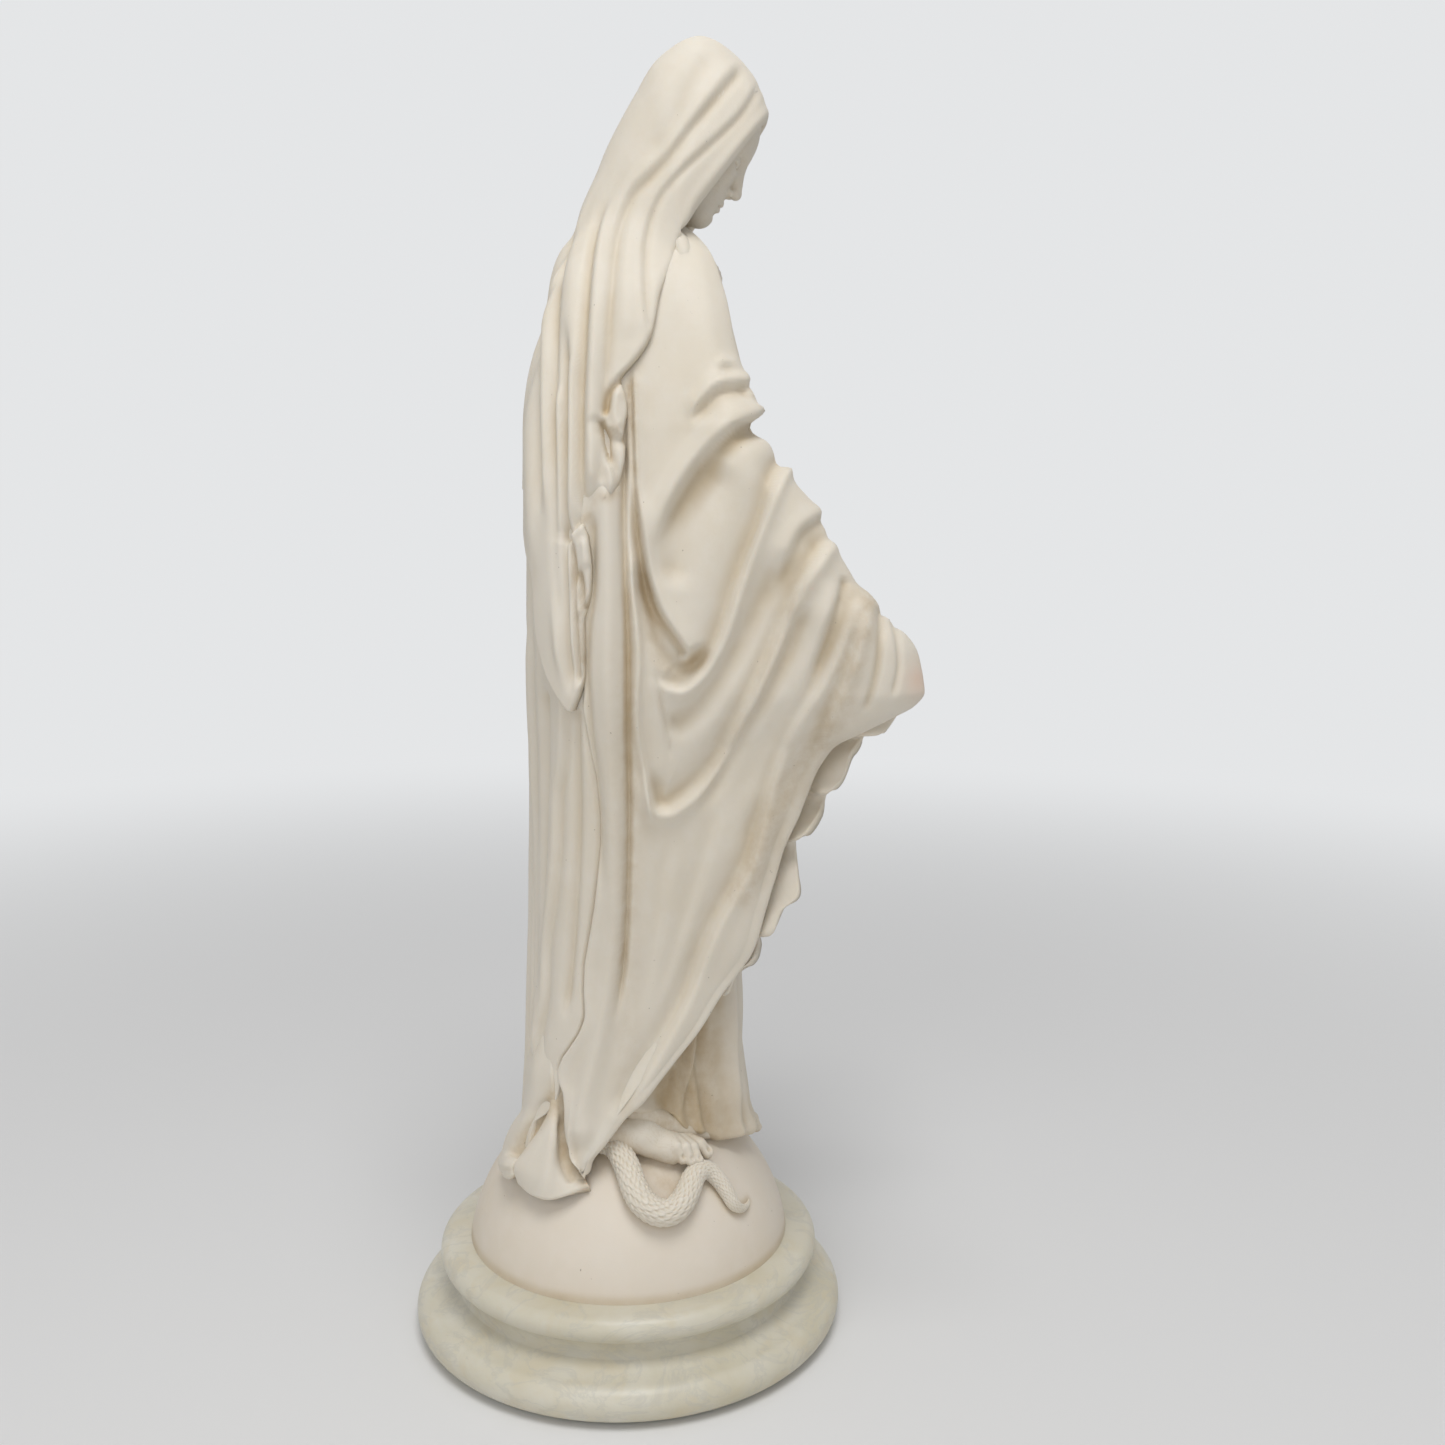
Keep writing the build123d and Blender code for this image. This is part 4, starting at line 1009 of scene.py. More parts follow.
def border_round(grid, radius, sides):
    """How far a sheet is eased down at its borders: 0 low row, 1 top row, 2 first column, 3 last column."""
    down = np.linalg.norm(np.diff(grid, axis=0), axis=-1)
    along = np.linalg.norm(np.diff(grid, axis=1), axis=-1)
    up_run = np.concatenate([np.zeros((1, grid.shape[1])), np.cumsum(down, axis=0)])
    out_run = np.concatenate([np.zeros((grid.shape[0], 1)), np.cumsum(along, axis=1)], axis=1)
    gaps = (up_run, up_run[-1:] - up_run, out_run, out_run[:, -1:] - out_run)
    return eased(np.minimum.reduce([gaps[side] for side in sides]), radius)


def sheet_through(control, rows, cols, ends=(0, 0, 0, 0)):
    """A grid through rows of control points (board y, board z, x), top row first, back column first."""
    y, z, x = np.moveaxis(column(control)[::-1], -1, 0)
    share = (eye_far + x) / board_far
    points = np.stack([x, y * share, eye_high + (z - eye_high) * share], axis=-1)
    col_at = spaced(cols, ends[2], ends[3], 0.4) * (points.shape[1] - 1)
    row_at = spaced(rows, ends[0], ends[1], 0.4) * (points.shape[0] - 1)
    wide = through(points[:, None], col_at[None, :])
    return through(wide.transpose(1, 0, 2)[:, None], row_at[None, :]).transpose(1, 0, 2)


def flap(name, control, rows, cols, thick, sides, radius, relief, gain, ends, stain_and_shade_map=None, left_spread=1.0):
    """One hung fold of the cloak on each side of the figure, through its control points."""
    base = sheet_through(control, rows, cols, ends)
    height = -border_round(base, radius, sides)
    if relief is not None:
        height = height + relief(*board(base))
    outer, normal, hollow = carved(base, height, (4, 4), gain)
    inner = outer - normal * thick
    # Painted shade: the pleat's varnish-and-shade map is also added to its hollow channel.
    marks = None if stain_and_shade_map is None else stain_and_shade_map(*board(base))
    hollow = hollow if marks is None else np.clip(hollow + 0.75 * marks, 0, 1)
    other_marks = None if marks is None else marks[:, ::-1]
    other = [mirrored(grid) for grid in (outer, inner)]
    for grid in other:
        grid[..., 1] -= (1 - left_spread) * np.maximum(grid[..., 1] - 40, 0)
    for piece in (cloth(name + "_right", outer, inner, hollow, marks),
                  cloth(name + "_left", other[0], other[1], hollow[:, ::-1], other_marks)):
        cast_in(piece, "mantle")


def pleat_waves(y, z):
    """Soft waves down the box pleat."""
    waves = fold(y, z, [(27.5, 108), (28, 100), (29.5, 90), (31, 80), (33, 72)], 0.9, 2.6, start=6, end=1)
    waves += fold(y, z, [(26, 106), (25.4, 97), (25, 88), (23.6, 82), (21, 77.5)], -1.4, 1.8, start=6, end=2)
    return waves + fold(y, z, [(24, 100), (22, 88), (18.5, 79)], 0.9, 1.6, start=6, end=2)


def corner_waves(y, z):
    """The long wave and the hollow of the corner that stands beside the box pleat."""
    waves = fold(y, z, [(33.6, 134), (36, 118), (37.8, 105.6), (41.8, 95.6), (45.5, 88.8), (47, 84)],
                 1.0, 2.2, start=14, end=2)
    return waves + fold(y, z, [(30.5, 113), (34.2, 102.6), (38.2, 97.6), (41.6, 92.8), (44, 88)],
                        -2.6, 2.3, start=8, end=3)


def pleat_varnish_and_shade(y, z):
    """Old varnish mixed with painted shade, where the pleat opens into its recess and along its deep folds.
    """
    pocket = 1.2 * np.exp(-(((y - 27) / 3.5) ** 2 + ((z - 111) / 6) ** 2))
    pocket += 0.8 * beside([(29, 110), (34.2, 102.6), (38.2, 97.6), (42, 92)], y, z, 2.6)
    recess = [(26.5, 112), (25, 104), (24.6, 95), (23.6, 88), (21, 82), (17, 78.5)]
    return np.clip(pocket + beside(recess, y, z, 2.2), 0, 1)


flap("box_pleat", [
    [(30.5, 117, -35.5), (28.5, 117, -36.5), (27, 117, -37), (25.5, 117, -37.5), (22.5, 117, -37.5)],
    [(30.2, 109, -38.5), (28.6, 108.5, -39.8), (27.2, 108, -40), (25.6, 107.5, -39.2), (21.5, 107, -38.5)],
    [(33.8, 100.5, -40), (31, 99.5, -43.5), (28, 98.5, -44.6), (25.2, 98, -41.8), (20, 97.5, -39.5)],
    [(40, 91.8, -39.5), (35.6, 90.2, -44), (30, 88.6, -46.8), (24.6, 87.6, -44.2), (18.5, 87, -41)],
    [(44, 84.8, -38.5), (39, 82.2, -44), (31.5, 80.2, -48.5), (23.8, 79.8, -48.2), (16.5, 80.5, -44.5)],
    [(42.4, 78, -38), (37.8, 73.4, -44.5), (31, 71, -49.5), (23, 73.2, -51), (15.4, 77.2, -48.5)]],
    132, 108, 2.6, (0, 2, 3), 1.3, pleat_waves, 0.8, (5, 0, 4, 4), pleat_varnish_and_shade)

flap("pleat_corner", [
    [(34.2, 143, -19), (33, 142.5, -25), (30.8, 142, -31), (28.2, 141, -33)],
    [(38.6, 125, -19), (36.8, 124.5, -25.5), (34, 124, -32.8), (28.6, 122, -38.5)],
    [(39.2, 114, -19), (37.5, 113.5, -26.5), (34.4, 113, -33.8), (28.0, 112, -39.3)],
    [(40.4, 107.5, -19), (38.4, 107, -27.8), (34.8, 106.4, -34.3), (28.0, 105.6, -39.5)],
    [(43.4, 103.5, -19), (40.4, 102, -29), (36.5, 101, -34.5), (31.4, 99.6, -38.8)],
    [(46.2, 98, -18), (43.2, 97, -28), (39.8, 95.8, -34), (35.6, 94.4, -38.8)],
    [(48.2, 91.2, -17), (46.4, 90.6, -27), (43.6, 90.2, -33), (40.4, 90, -38)],
    [(49.3, 86.5, -19), (48.4, 85.3, -28), (46.6, 85.4, -34), (43.9, 85.6, -38.5)],
    [(48.2, 82.2, -24), (47.2, 80.4, -31), (45.8, 79.8, -35.5), (44.4, 81.4, -38.5)]],
    150, 81, 2.6, (0, 2, 3), 1.3, corner_waves, 0.8, (5, 0, 4, 4), pleat_varnish_and_shade, 0.0)

zigzag = [
    [(-78, 266, -42), (-84, 263, -44), (-92, 261, -45), (-101, 258.5, -44)],
    [(-77, 259, -40), (-83, 256.5, -44), (-90, 254, -46), (-98, 253.5, -45)],
    [(-76, 253, -39), (-81, 250.5, -43), (-87, 248.8, -47), (-93.5, 248.8, -47)],
    [(-74, 250.5, -36), (-79, 249, -37), (-83, 248, -38), (-87.5, 248.3, -38)],
    [(-70, 245, -36), (-74, 242, -38), (-79, 241.5, -41), (-83, 243, -42)],
    [(-66, 238, -36), (-70, 235, -40), (-75, 232.5, -44), (-80, 233.5, -45)],
    [(-62, 232, -36), (-68, 229.5, -41), (-71.5, 227.5, -45), (-75, 227.3, -46)],
    [(-60, 230, -34), (-66, 228, -35), (-69.5, 226, -36), (-73.5, 225.8, -36)],
    [(-56, 220, -34), (-61, 218, -37), (-66, 217, -40), (-70.3, 219, -41)],
    [(-53, 213, -35), (-58, 211, -40), (-61.5, 209.8, -44), (-64.8, 210.6, -45)],
    [(-51, 210, -33), (-56, 208.5, -34), (-59.5, 207.5, -36), (-62.5, 208.5, -36)],
    [(-48, 199, -34), (-54, 198, -38), (-59, 197, -41), (-63.2, 197, -42)],
    [(-46, 190, -34), (-52, 188, -39), (-57.5, 187, -43), (-63.2, 188.3, -45)],
    [(-44, 184, -34), (-49, 182, -39), (-53.5, 181, -43), (-57.5, 182.7, -44)],
    [(-42, 177, -34), (-47, 175, -40), (-50.5, 173.5, -43), (-53.8, 173.3, -43.5)],
    [(-41, 175, -32), (-45.5, 173, -34), (-47.5, 171.8, -35), (-49, 173, -35)],
    [(-37, 167, -32), (-41.5, 165, -36), (-44, 163.5, -38.5), (-46.7, 165, -39.5)],
    [(-33, 161, -32), (-37.5, 159.5, -36), (-39.5, 158.3, -38.5), (-41.6, 159.5, -39)],
    [(-27, 152, -32), (-33, 151, -36), (-36, 150, -37.5), (-38, 151, -37)]]
flap("front_zigzag", zigzag, 330, 60, 2.0, (0, 1, 3), 1.0, None, 0.6, (2, 2, 0, 4))

# ======================================================================================
# Head: bonded marble, modelled whole and set on the neck dowel, bowed under the veil.
# A calm, plain face of even proportions, with parted hair drawn back under the cloth.
# ======================================================================================


def lattice(low, high, cell):
    """Coordinates of a block of cells, as three open arrays in millimetres."""
    axes = [np.arange(a, b + cell, cell) for a, b in zip(low, high)]
    return np.meshgrid(*axes, indexing="ij", sparse=True)


def blend_in(a, b, soft):
    """Union of two solids, with a fillet about soft millimetres wide."""
    if soft <= 0:
        return np.minimum(a, b)
    h = np.clip(0.5 + 0.5 * (b - a) / soft, 0, 1)
    return b * (1 - h) + a * h - soft * h * (1 - h)


def blend_out(a, b, soft):
    """Solid a with b carved away, softly."""
    return -blend_in(-a, b, soft)


def ball(at, middle, radii):
    """An ellipsoid's distance; radii may be one number or three."""
    radii = column(radii) * np.ones(3)
    parts = [(at[k] - middle[k]) / radii[k] for k in range(3)]
    length = np.sqrt(parts[0] ** 2 + parts[1] ** 2 + parts[2] ** 2)
    return (length - 1) * radii.min() * (0.45 + 0.55 * np.minimum(1, length))


def rod(at, start, end, first, last=None):
    """A rounded rod between two points, which may taper."""
    last = first if last is None else last
    a, d = column(start), column(end) - column(start)
    parts = [at[k] - a[k] for k in range(3)]
    f = np.clip((parts[0] * d[0] + parts[1] * d[1] + parts[2] * d[2]) / (d @ d), 0, 1)
    gap = np.sqrt(sum((parts[k] - f * d[k]) ** 2 for k in range(3)))
    return gap - (first + (last - first) * f)


def strand(at, points, radii):
    """A run of rods through a smooth line, thick as radii says along it."""
    line = through(column(points), np.linspace(0, len(points) - 1, 3 * len(points) - 2))
    thick = np.interp(np.linspace(0, 1, len(line)), np.linspace(0, 1, len(radii)), radii)
    solid = np.full(np.broadcast_shapes(*[axis.shape for axis in at]), 9.0)
    for k in range(len(line) - 1):
        room = max(thick[k], thick[k + 1]) + 3.0
        near = [np.flatnonzero((axis.ravel() > min(a, b) - room) & (axis.ravel() < max(a, b) + room))
                for axis, a, b in zip(at, line[k], line[k + 1])]
        if min(len(index) for index in near):
            part = [axis.ravel()[index] for axis, index in zip(at, near)]
            part = np.meshgrid(*part, indexing="ij", sparse=True)
            block = rod(part, line[k], line[k + 1], thick[k], thick[k + 1])
            where = np.ix_(*near)
            solid[where] = np.minimum(solid[where], block)
    return solid


def clay(name, low, cell, solid, place, node, gain=1.2, golden_and_shade=None):
    """Skins a modelled solid and puts it in place with a 4 x 4 matrix; the last function, of its points,
    gives its varnish stain mixed with painted shade.
    """
    deep = 2.5 * cell
    field = np.clip(solid, -deep, deep).astype(np.float32)
    grid = openvdb.FloatGrid(background=deep)
    grid.copyFromArray(field)
    points, quads = grid.convertToQuads(0.0)
    points = np.asarray(points, float)
    # A place is hollow where the solid stands out round it, within about 1.6 mm; the finish darkens it there
    # as painted shade.
    width = max(int(1.6 / cell), 1)
    soft = blurred(np.clip(solid, -4, 4), (width, width, width), 1)
    near = np.clip(np.round(points).astype(int), 0, np.array(soft.shape) - 1)
    sunk = np.clip(-soft[near[:, 0], near[:, 1], near[:, 2]] * gain, 0, 1)
    turn, shift = place[:3, :3], place[:3, 3]
    world = (np.asarray(low) + points * cell) @ turn.T + shift
    quads = np.asarray(quads)
    if np.linalg.det(turn) > 0:
        quads = quads[:, ::-1]
    piece = mesh_piece(name, world, quads.tolist())
    paint_age_and_shade(piece, sunk, None if golden_and_shade is None else golden_and_shade(world))
    cast_in(piece, node)


def standing(origin, right, up, forward):
    """A placing matrix from an origin and three directions."""
    turn = np.eye(4)
    turn[:3, 0], turn[:3, 1], turn[:3, 2], turn[:3, 3] = right, up, forward, origin
    return turn


# The head is modelled upright about its own centre: x to the side, y up, z to the face.
bow = math.radians(27.5)
head_low, head_high, head_cell = (-21, -46, -27), (21, 31, 27), 0.42
at = lattice(head_low, head_high, head_cell)
away = (np.abs(at[0]), at[1], at[2])
head = ball(at, (0, 7.5, -3.5), (18.2, 20.0, 21.0))
head = blend_in(head, ball(at, (0, 6, 7.5), (14.6, 13.5, 11.2)), 5)
head = blend_in(head, ball(at, (0, -9, 3.5), (13.6, 17.0, 13.2)), 6)
head = blend_in(head, ball(away, (7.6, -7.6, 10.4), (6.0, 6.6, 5.6)), 4)
head = blend_in(head, ball(at, (0, -16.5, 11.0), (7.2, 7.0, 5.8)), 4)
head = blend_in(head, ball(at, (0, -23.6, 12.4), (4.6, 3.9, 3.9)), 4)
head = blend_in(head, rod(away, (11.8, -13.0, -1), (4.5, -23.5, 9.5), 3.6, 3.2), 6)
head = blend_out(head, ball(away, (6.7, -0.9, 18.9), (4.6, 2.9, 3.4)), 2.6)
head = blend_in(head, rod(away, (2.6, 3.3, 16.6), (10.4, 3.7, 13.8), 1.5, 1.1), 2.6)
head = blend_in(head, ball(away, (6.6, -1.6, 12.5), (4.0, 3.3, 3.7)), 0.5)
lids = ball(away, (6.6, -1.5, 12.6), (4.35, 3.6, 4.05))
lids = np.maximum(lids, -(away[1] + 2.75 + 0.035 * (away[0] - 6.6) ** 2))
head = blend_in(head, lids, 0.35)
head = blend_out(head, rod(away, (3.3, -2.7, 15.6), (6.6, -3.45, 16.9), 0.30), 0.4)
head = blend_out(head, rod(away, (6.6, -3.45, 16.9), (10.1, -2.5, 14.9), 0.30), 0.4)
head = blend_in(head, rod(away, (3.4, -4.2, 14.9), (9.6, -4.0, 13.6), 0.7, 0.5), 1.4)
head = blend_in(head, rod(at, (0, 3.0, 16.3), (0, -9.6, 20.2), 1.5, 1.9), 2.4)
head = blend_in(head, ball(at, (0, -10.6, 20.0), (2.3, 1.9, 2.2)), 1.2)
head = blend_in(head, ball(away, (2.35, -11.4, 17.6), (1.5, 1.4, 1.9)), 1.0)
head = blend_out(head, ball(away, (1.15, -12.9, 18.4), (0.62, 0.8, 0.9)), 0.4)
head = blend_out(head, rod(at, (0, -13.2, 17.4), (0, -15.2, 17.2), 0.55), 0.9)
head = blend_in(head, rod(away, (0.9, -16.1, 16.9), (3.9, -17.3, 14.9), 1.05, 0.5), 0.8)
head = blend_in(head, rod(away, (0.0, -18.9, 16.3), (3.1, -18.5, 15.0), 1.35, 0.7), 0.9)
head = blend_out(head, rod(away, (0.0, -17.35, 18.0), (4.7, -17.75, 15.0), 0.36), 0.45)
head = blend_out(head, ball(at, (0, -21.0, 17.2), (3.2, 1.0, 1.3)), 1.4)
head = blend_in(head, rod(at, (0, -12, -4.5), (0, -46, -6.5), 8.6, 11.5), 6)
for side in (-1, 1):
    turned = (at[0] * side, at[1], at[2])
    head = blend_in(head, rod(turned, (12.5, 0, 0), (13.6, -17, -1), 5.2, 4.6), 2)
    head = blend_in(head, rod(turned, (13.6, -17, -1), (14.8, -38, -7), 4.6, 4.0), 2)
    for k in range(4):
        fall = [(15.6 - 1.5 * k, -5.5 + 0.8 * k, 4.2 + 0.3 * k), (16.9 - 1.6 * k, -13, 3.0 + 0.5 * k),
                (16.6 - 1.5 * k, -20, 2.4 - 0.2 * k), (17.4 - 1.5 * k, -28, -0.6 - 0.5 * k),
                (17.2 - 1.4 * k, -38, -3.8 - 0.6 * k)]
        fall = [(x + 0.5 * math.sin(i * 1.9 + 2 * k), y, z + 0.4 * math.cos(i * 2.3 + k))
                for i, (x, y, z) in enumerate(fall)]
        head = blend_in(head, strand(turned, fall, (1.0, 1.7, 1.8, 1.7, 1.3)), 0.5)
    for k, (up_by, out_by, thick) in enumerate(((0, 0, 2.0), (2.6, -0.6, 2.1), (5.2, -1.4, 2.2),
                                                (-2.2, 0.2, 1.7), (7.8, -2.4, 2.3))):
        lock = [(0.6, 16.6 + up_by * 0.9, 14.8 - up_by * 0.6), (5.2, 16.2 + up_by, 14.8 - up_by * 0.7),
                (10.0, 13.0 + up_by * 0.9, 12.2 - up_by * 0.7),
                (13.6 + out_by * 0.3, 8.4 + up_by * 0.6, 9.0 - up_by * 0.8),
                (15.4 + out_by * 0.2, 2.6 + up_by * 0.3, 6.0 - up_by * 1.0), (15.6, -3.4, 3.0 - up_by * 1.1),
                (15.0, -9.4, -0.4 - up_by * 1.2), (13.4, -16.0, -3.2 - up_by * 1.0)]
        lock = [(x + 0.5 * math.sin(i * 2.1 + k), y + 0.5 * math.cos(i * 1.7 + k), z)
                for i, (x, y, z) in enumerate(lock)]
        head = blend_in(head, strand(turned, lock, (0.9, thick, thick, thick, thick, thick * 0.8)), 0.55)
up, forward = (0, -math.sin(bow), math.cos(bow)), (0, -math.cos(bow), -math.sin(bow))
head_place = standing((0, -29.5, 469.0), (1, 0, 0), up, forward)
clay("head_and_hair", head_low, head_cell, head, head_place, "head")

# ======================================================================================
# Hands: each cast with its wrist and pinned into the sleeve. They are held low and open,
# the palm to the front, half covered by the cloak.
# ======================================================================================
hand_low, hand_high, hand_cell = (-16, -14, -16), (16, 12, 50), 0.42
at = lattice(hand_low, hand_high, hand_cell)
hand = ball(at, (0, 0.4, 12), (8.6, 3.9, 12.5))
hand = blend_in(hand, ball(at, (-5.6, -1.4, 8.5), (3.9, 3.9, 8.0)), 3)
hand = blend_in(hand, ball(at, (5.6, -1.0, 8.0), (3.2, 3.4, 8.5)), 3)
hand = blend_in(hand, rod(at, (0, 0.6, -16), (0, 0.4, 2), 6.6, 5.6), 5)
hand = blend_out(hand, ball(at, (0.4, -5.6, 13), (4.6, 2.4, 7.2)), 2)
fingers = (((-6.0, 0.2, 19), (-7.4, -0.4, 29), (-8.2, -2.6, 37.0), 2.15),
           ((-2.1, 0.5, 21), (-2.6, 0.0, 32.5), (-2.8, -2.4, 41.0), 2.25),
           ((1.9, 0.5, 20.5), (2.3, -0.5, 31), (2.6, -3.4, 39.0), 2.15),
           ((5.6, 0.2, 18.5), (6.9, -1.2, 26.5), (7.6, -3.8, 33.0), 1.85))
for root, knuckle, tip, thick in fingers:
    finger = rod(at, root, knuckle, thick * 1.08, thick * 0.96)
    finger = blend_in(finger, rod(at, knuckle, tip, thick * 0.96, thick * 0.74), 0.6)
    nail = (tip[0], tip[1] + thick * 0.95, tip[2] - 0.6)
    finger = blend_out(finger, ball(at, nail, (thick * 0.5, 0.5, 1.5)), 0.3)
    hand = blend_in(hand, finger, 1.0)
thumb_joint = (-11.0, -4.2, 14.5)
thumb = rod(at, (-6.2, -2.0, 5), thumb_joint, 3.0, 2.5)
thumb = blend_in(thumb, rod(at, thumb_joint, (-12.6, -5.4, 22.5), 2.4, 1.8), 0.8)
hand = blend_in(hand, thumb, 2.0)
fingers_down = Vector((0.42, -0.50, -0.76)).normalized()
to_thumb = Vector((-0.62, -0.72, 0.13))
to_thumb = (to_thumb - fingers_down * to_thumb.dot(fingers_down)).normalized()
for side, name in ((1, "right"), (-1, "left")):
    long_way = Vector((fingers_down.x * side, fingers_down.y, fingers_down.z))
    thumb_way = Vector((to_thumb.x * side, to_thumb.y, to_thumb.z))
    palm_way = thumb_way.cross(long_way) * side
    turn = standing((-49.0 * side, -72.0, 287.0), -thumb_way, palm_way * -1.0, long_way)
    clay(f"hand_{name}", hand_low, hand_cell, hand, turn, f"{name}_hand")

# ======================================================================================
# Sleeves' ends: each cast as a short cuff round the wrist and bonded into the cloak. The
# linen is thin, gathered in soft pleats, and turned over at its edge.
# ======================================================================================
cuff_start, cuff_end = column((-44.0, -56.0, 301.0)), column((-51.5, -76.5, 281.0))
cuff_way = (cuff_end - cuff_start) / np.linalg.norm(cuff_end - cuff_start)
cuff_side = np.cross(cuff_way, (0, 0, 1))
cuff_side /= np.linalg.norm(cuff_side)
cuff_up = np.cross(cuff_side, cuff_way)
along = [0, 0.06, 0.12, 0.2, 0.3, 0.4, 0.5, 0.6, 0.68, 0.76, 0.83, 0.89, 0.94, 0.97, 0.99, 1.0, 0.995, 0.97,
         0.93, 0.86, 0.76, 0.64]
reach = [6.0, 8.6, 9.4, 9.8, 9.6, 9.4, 9.5, 9.9, 10.2, 10.4, 10.3, 10.5, 10.7, 10.6, 10.2, 9.6, 9.0, 8.7, 8.5,
         8.3, 8.1, 7.9]
fine = np.linspace(0, len(along) - 1, 110)
spin = np.linspace(0, 2 * math.pi, 145)
along = np.interp(fine, np.arange(len(along)), along)[:, None]
reach = np.interp(fine, np.arange(len(reach)), reach)[:, None]
pleats = np.sin(spin * 7 + 2.2 * along) * 0.55 + np.sin(spin * 11 + 1.1) * 0.30
pleats = pleats + np.sin(spin * 3 + 4 * along) * 0.5
reach = reach + pleats * smooth_step(0, 0.3, along) * (1 - 0.5 * hill(along - 0.86, 0.05))
cuff_grid = cuff_start + (cuff_end - cuff_start) * along[..., None]
cuff_grid = cuff_grid + cuff_side * (reach * np.cos(spin))[..., None]
cuff_grid = cuff_grid + cuff_up * (reach * 0.92 * np.sin(spin))[..., None]
# Painted shade in the hollows between the cuff's pleats.
cuff_hollow = np.clip(0.25 - pleats * 0.35, 0, 1) + 0.7 * smooth_step(75, 90, fine)[:, None]
for side, name in ((1, "right"), (-1, "left")):
    rings = cuff_grid if side > 0 else (cuff_grid * [-1, 1, 1])[:, ::-1]
    cast_in(closed_loft(f"cuff_{name}", rings, np.clip(cuff_hollow, 0, 1)), f"{name}_cuff")

# ======================================================================================
# Arms: the gown's sleeves inside the cloak, cast in one with the cloak's lining. Each runs
# from the shoulder to the cuff, its cloth drawn into soft rings where the elbow bends.
# ======================================================================================
arm_low, arm_high, arm_cell = (-62, -78, 278), (-18, 2, 398), 0.7
at = lattice(arm_low, arm_high, arm_cell)
shoulder, elbow = (-29.5, -13, 382), (-43, -29, 328)
arm = blend_in(rod(at, shoulder, elbow, 11.5, 11.0), rod(at, elbow, cuff_start, 11.0, 9.8), 5)
arm = blend_in(arm, rod(at, cuff_start, cuff_start + 0.35 * (cuff_end - cuff_start), 9.8, 7.0), 4)
for k in range(9):
    share = k / 8
    if k < 5:
        middle = column(shoulder) * (1 - share) + column(elbow) * share
    else:
        middle = column(elbow) * (1.9 - share * 1.9) + cuff_start * (share * 1.9 - 0.9)
    ring_line = []
    for t in (-0.5 + 0.3 * math.sin(k), 0.4, 1.3, 2.2 + 0.3 * math.cos(k)):
        way = column((math.cos(t), -0.75 * math.sin(t) - 0.2, -0.5 * math.sin(t) + 0.5 * math.cos(t)))
        ring_line.append(middle + (10.2 + 0.5 * math.sin(3 * k)) * way)
    arm = blend_in(arm, strand(at, ring_line, (0.6, 1.9, 2.0, 0.6)), 1.8)
for side, name in ((1, "right"), (-1, "left")):
    clay(f"sleeve_{name}", arm_low, arm_cell, arm, np.diag([side, 1.0, 1.0, 1.0]), "mantle")

# ======================================================================================
# Sash: a band of folded cloth cast as a ring and laid round the waist, tied in front, its
# two ends hanging down over the gown.
# ======================================================================================
sash_steps, sash_ring = 240, 40
turn = np.linspace(0, 4, sash_steps + 1)[:-1, None]
ring = np.linspace(0, 2 * math.pi, sash_ring + 1)[None, :-1]
waist = gown_base(turn, np.full(turn.shape, 345.0))
outward = waist * [1, 1, 0] - [0, -5, 0]
outward /= np.linalg.norm(outward, axis=-1, keepdims=True)
twist = 0.55 * np.sin(ring * 3 + turn * 5.2) + 0.35 * np.sin(ring * 5 - turn * 3.1)
band_out = (2.9 + twist * 0.55) * np.cos(ring)
band_up = (5.8 + twist * 0.6) * np.sin(ring)
sash_grid = waist + outward * (band_out + 1.5)[..., None]
sash_grid = sash_grid + column((0, 0, 1)) * (band_up + 0.6 * np.sin(turn * 4))[..., None]
sash = mesh_piece("sash_band", sash_grid.reshape(-1, 3), net(sash_steps, sash_ring, 0, (True, True)).tolist())
# Painted shade in the sash's twisted folds.
paint_age_and_shade(sash, np.clip(0.35 - 0.5 * twist, 0, 1).ravel())
knot_low, knot_high, knot_cell = (-12, -54, 296), (12, -30, 354), 0.4
at = lattice(knot_low, knot_high, knot_cell)
knot = ball(at, (0, -42.5, 345), (4.6, 4.2, 5.0))
knot = blend_in(knot, strand(at, [(-5.5, -41.5, 348), (-2, -45.5, 349), (3, -45.8, 344), (5.5, -42, 340)],
                             (2.0, 2.7, 2.6, 1.8)), 0.6)
knot = blend_out(knot, strand(at, [(-4, -45, 344), (0, -47.6, 346), (4, -46.2, 349)], (0.5, 0.5)), 0.8)
for side, low in ((1, 306), (-1, 312)):
    tail_line = [(1.0 * side, -43.5, 342), (3.2 * side, -46.0, 334), (4.6 * side, -48.2, 323),
                 (5.4 * side, -49.4, low)]
    for offset, thick in ((-1.5, 1.5), (0.4, 1.7), (2.2, 1.4)):
        line = [(x + offset * (0.5 + 0.5 * k / 3), y, z - 0.6 * abs(offset)) for k,
                (x, y, z) in enumerate(tail_line)]
        knot = blend_in(knot, strand(at, line, (1.3, thick, thick, thick * 0.9)), 0.5)
clay("sash_knot", knot_low, knot_cell, knot, np.eye(4), "girdle")
cast_in(sash, "girdle")

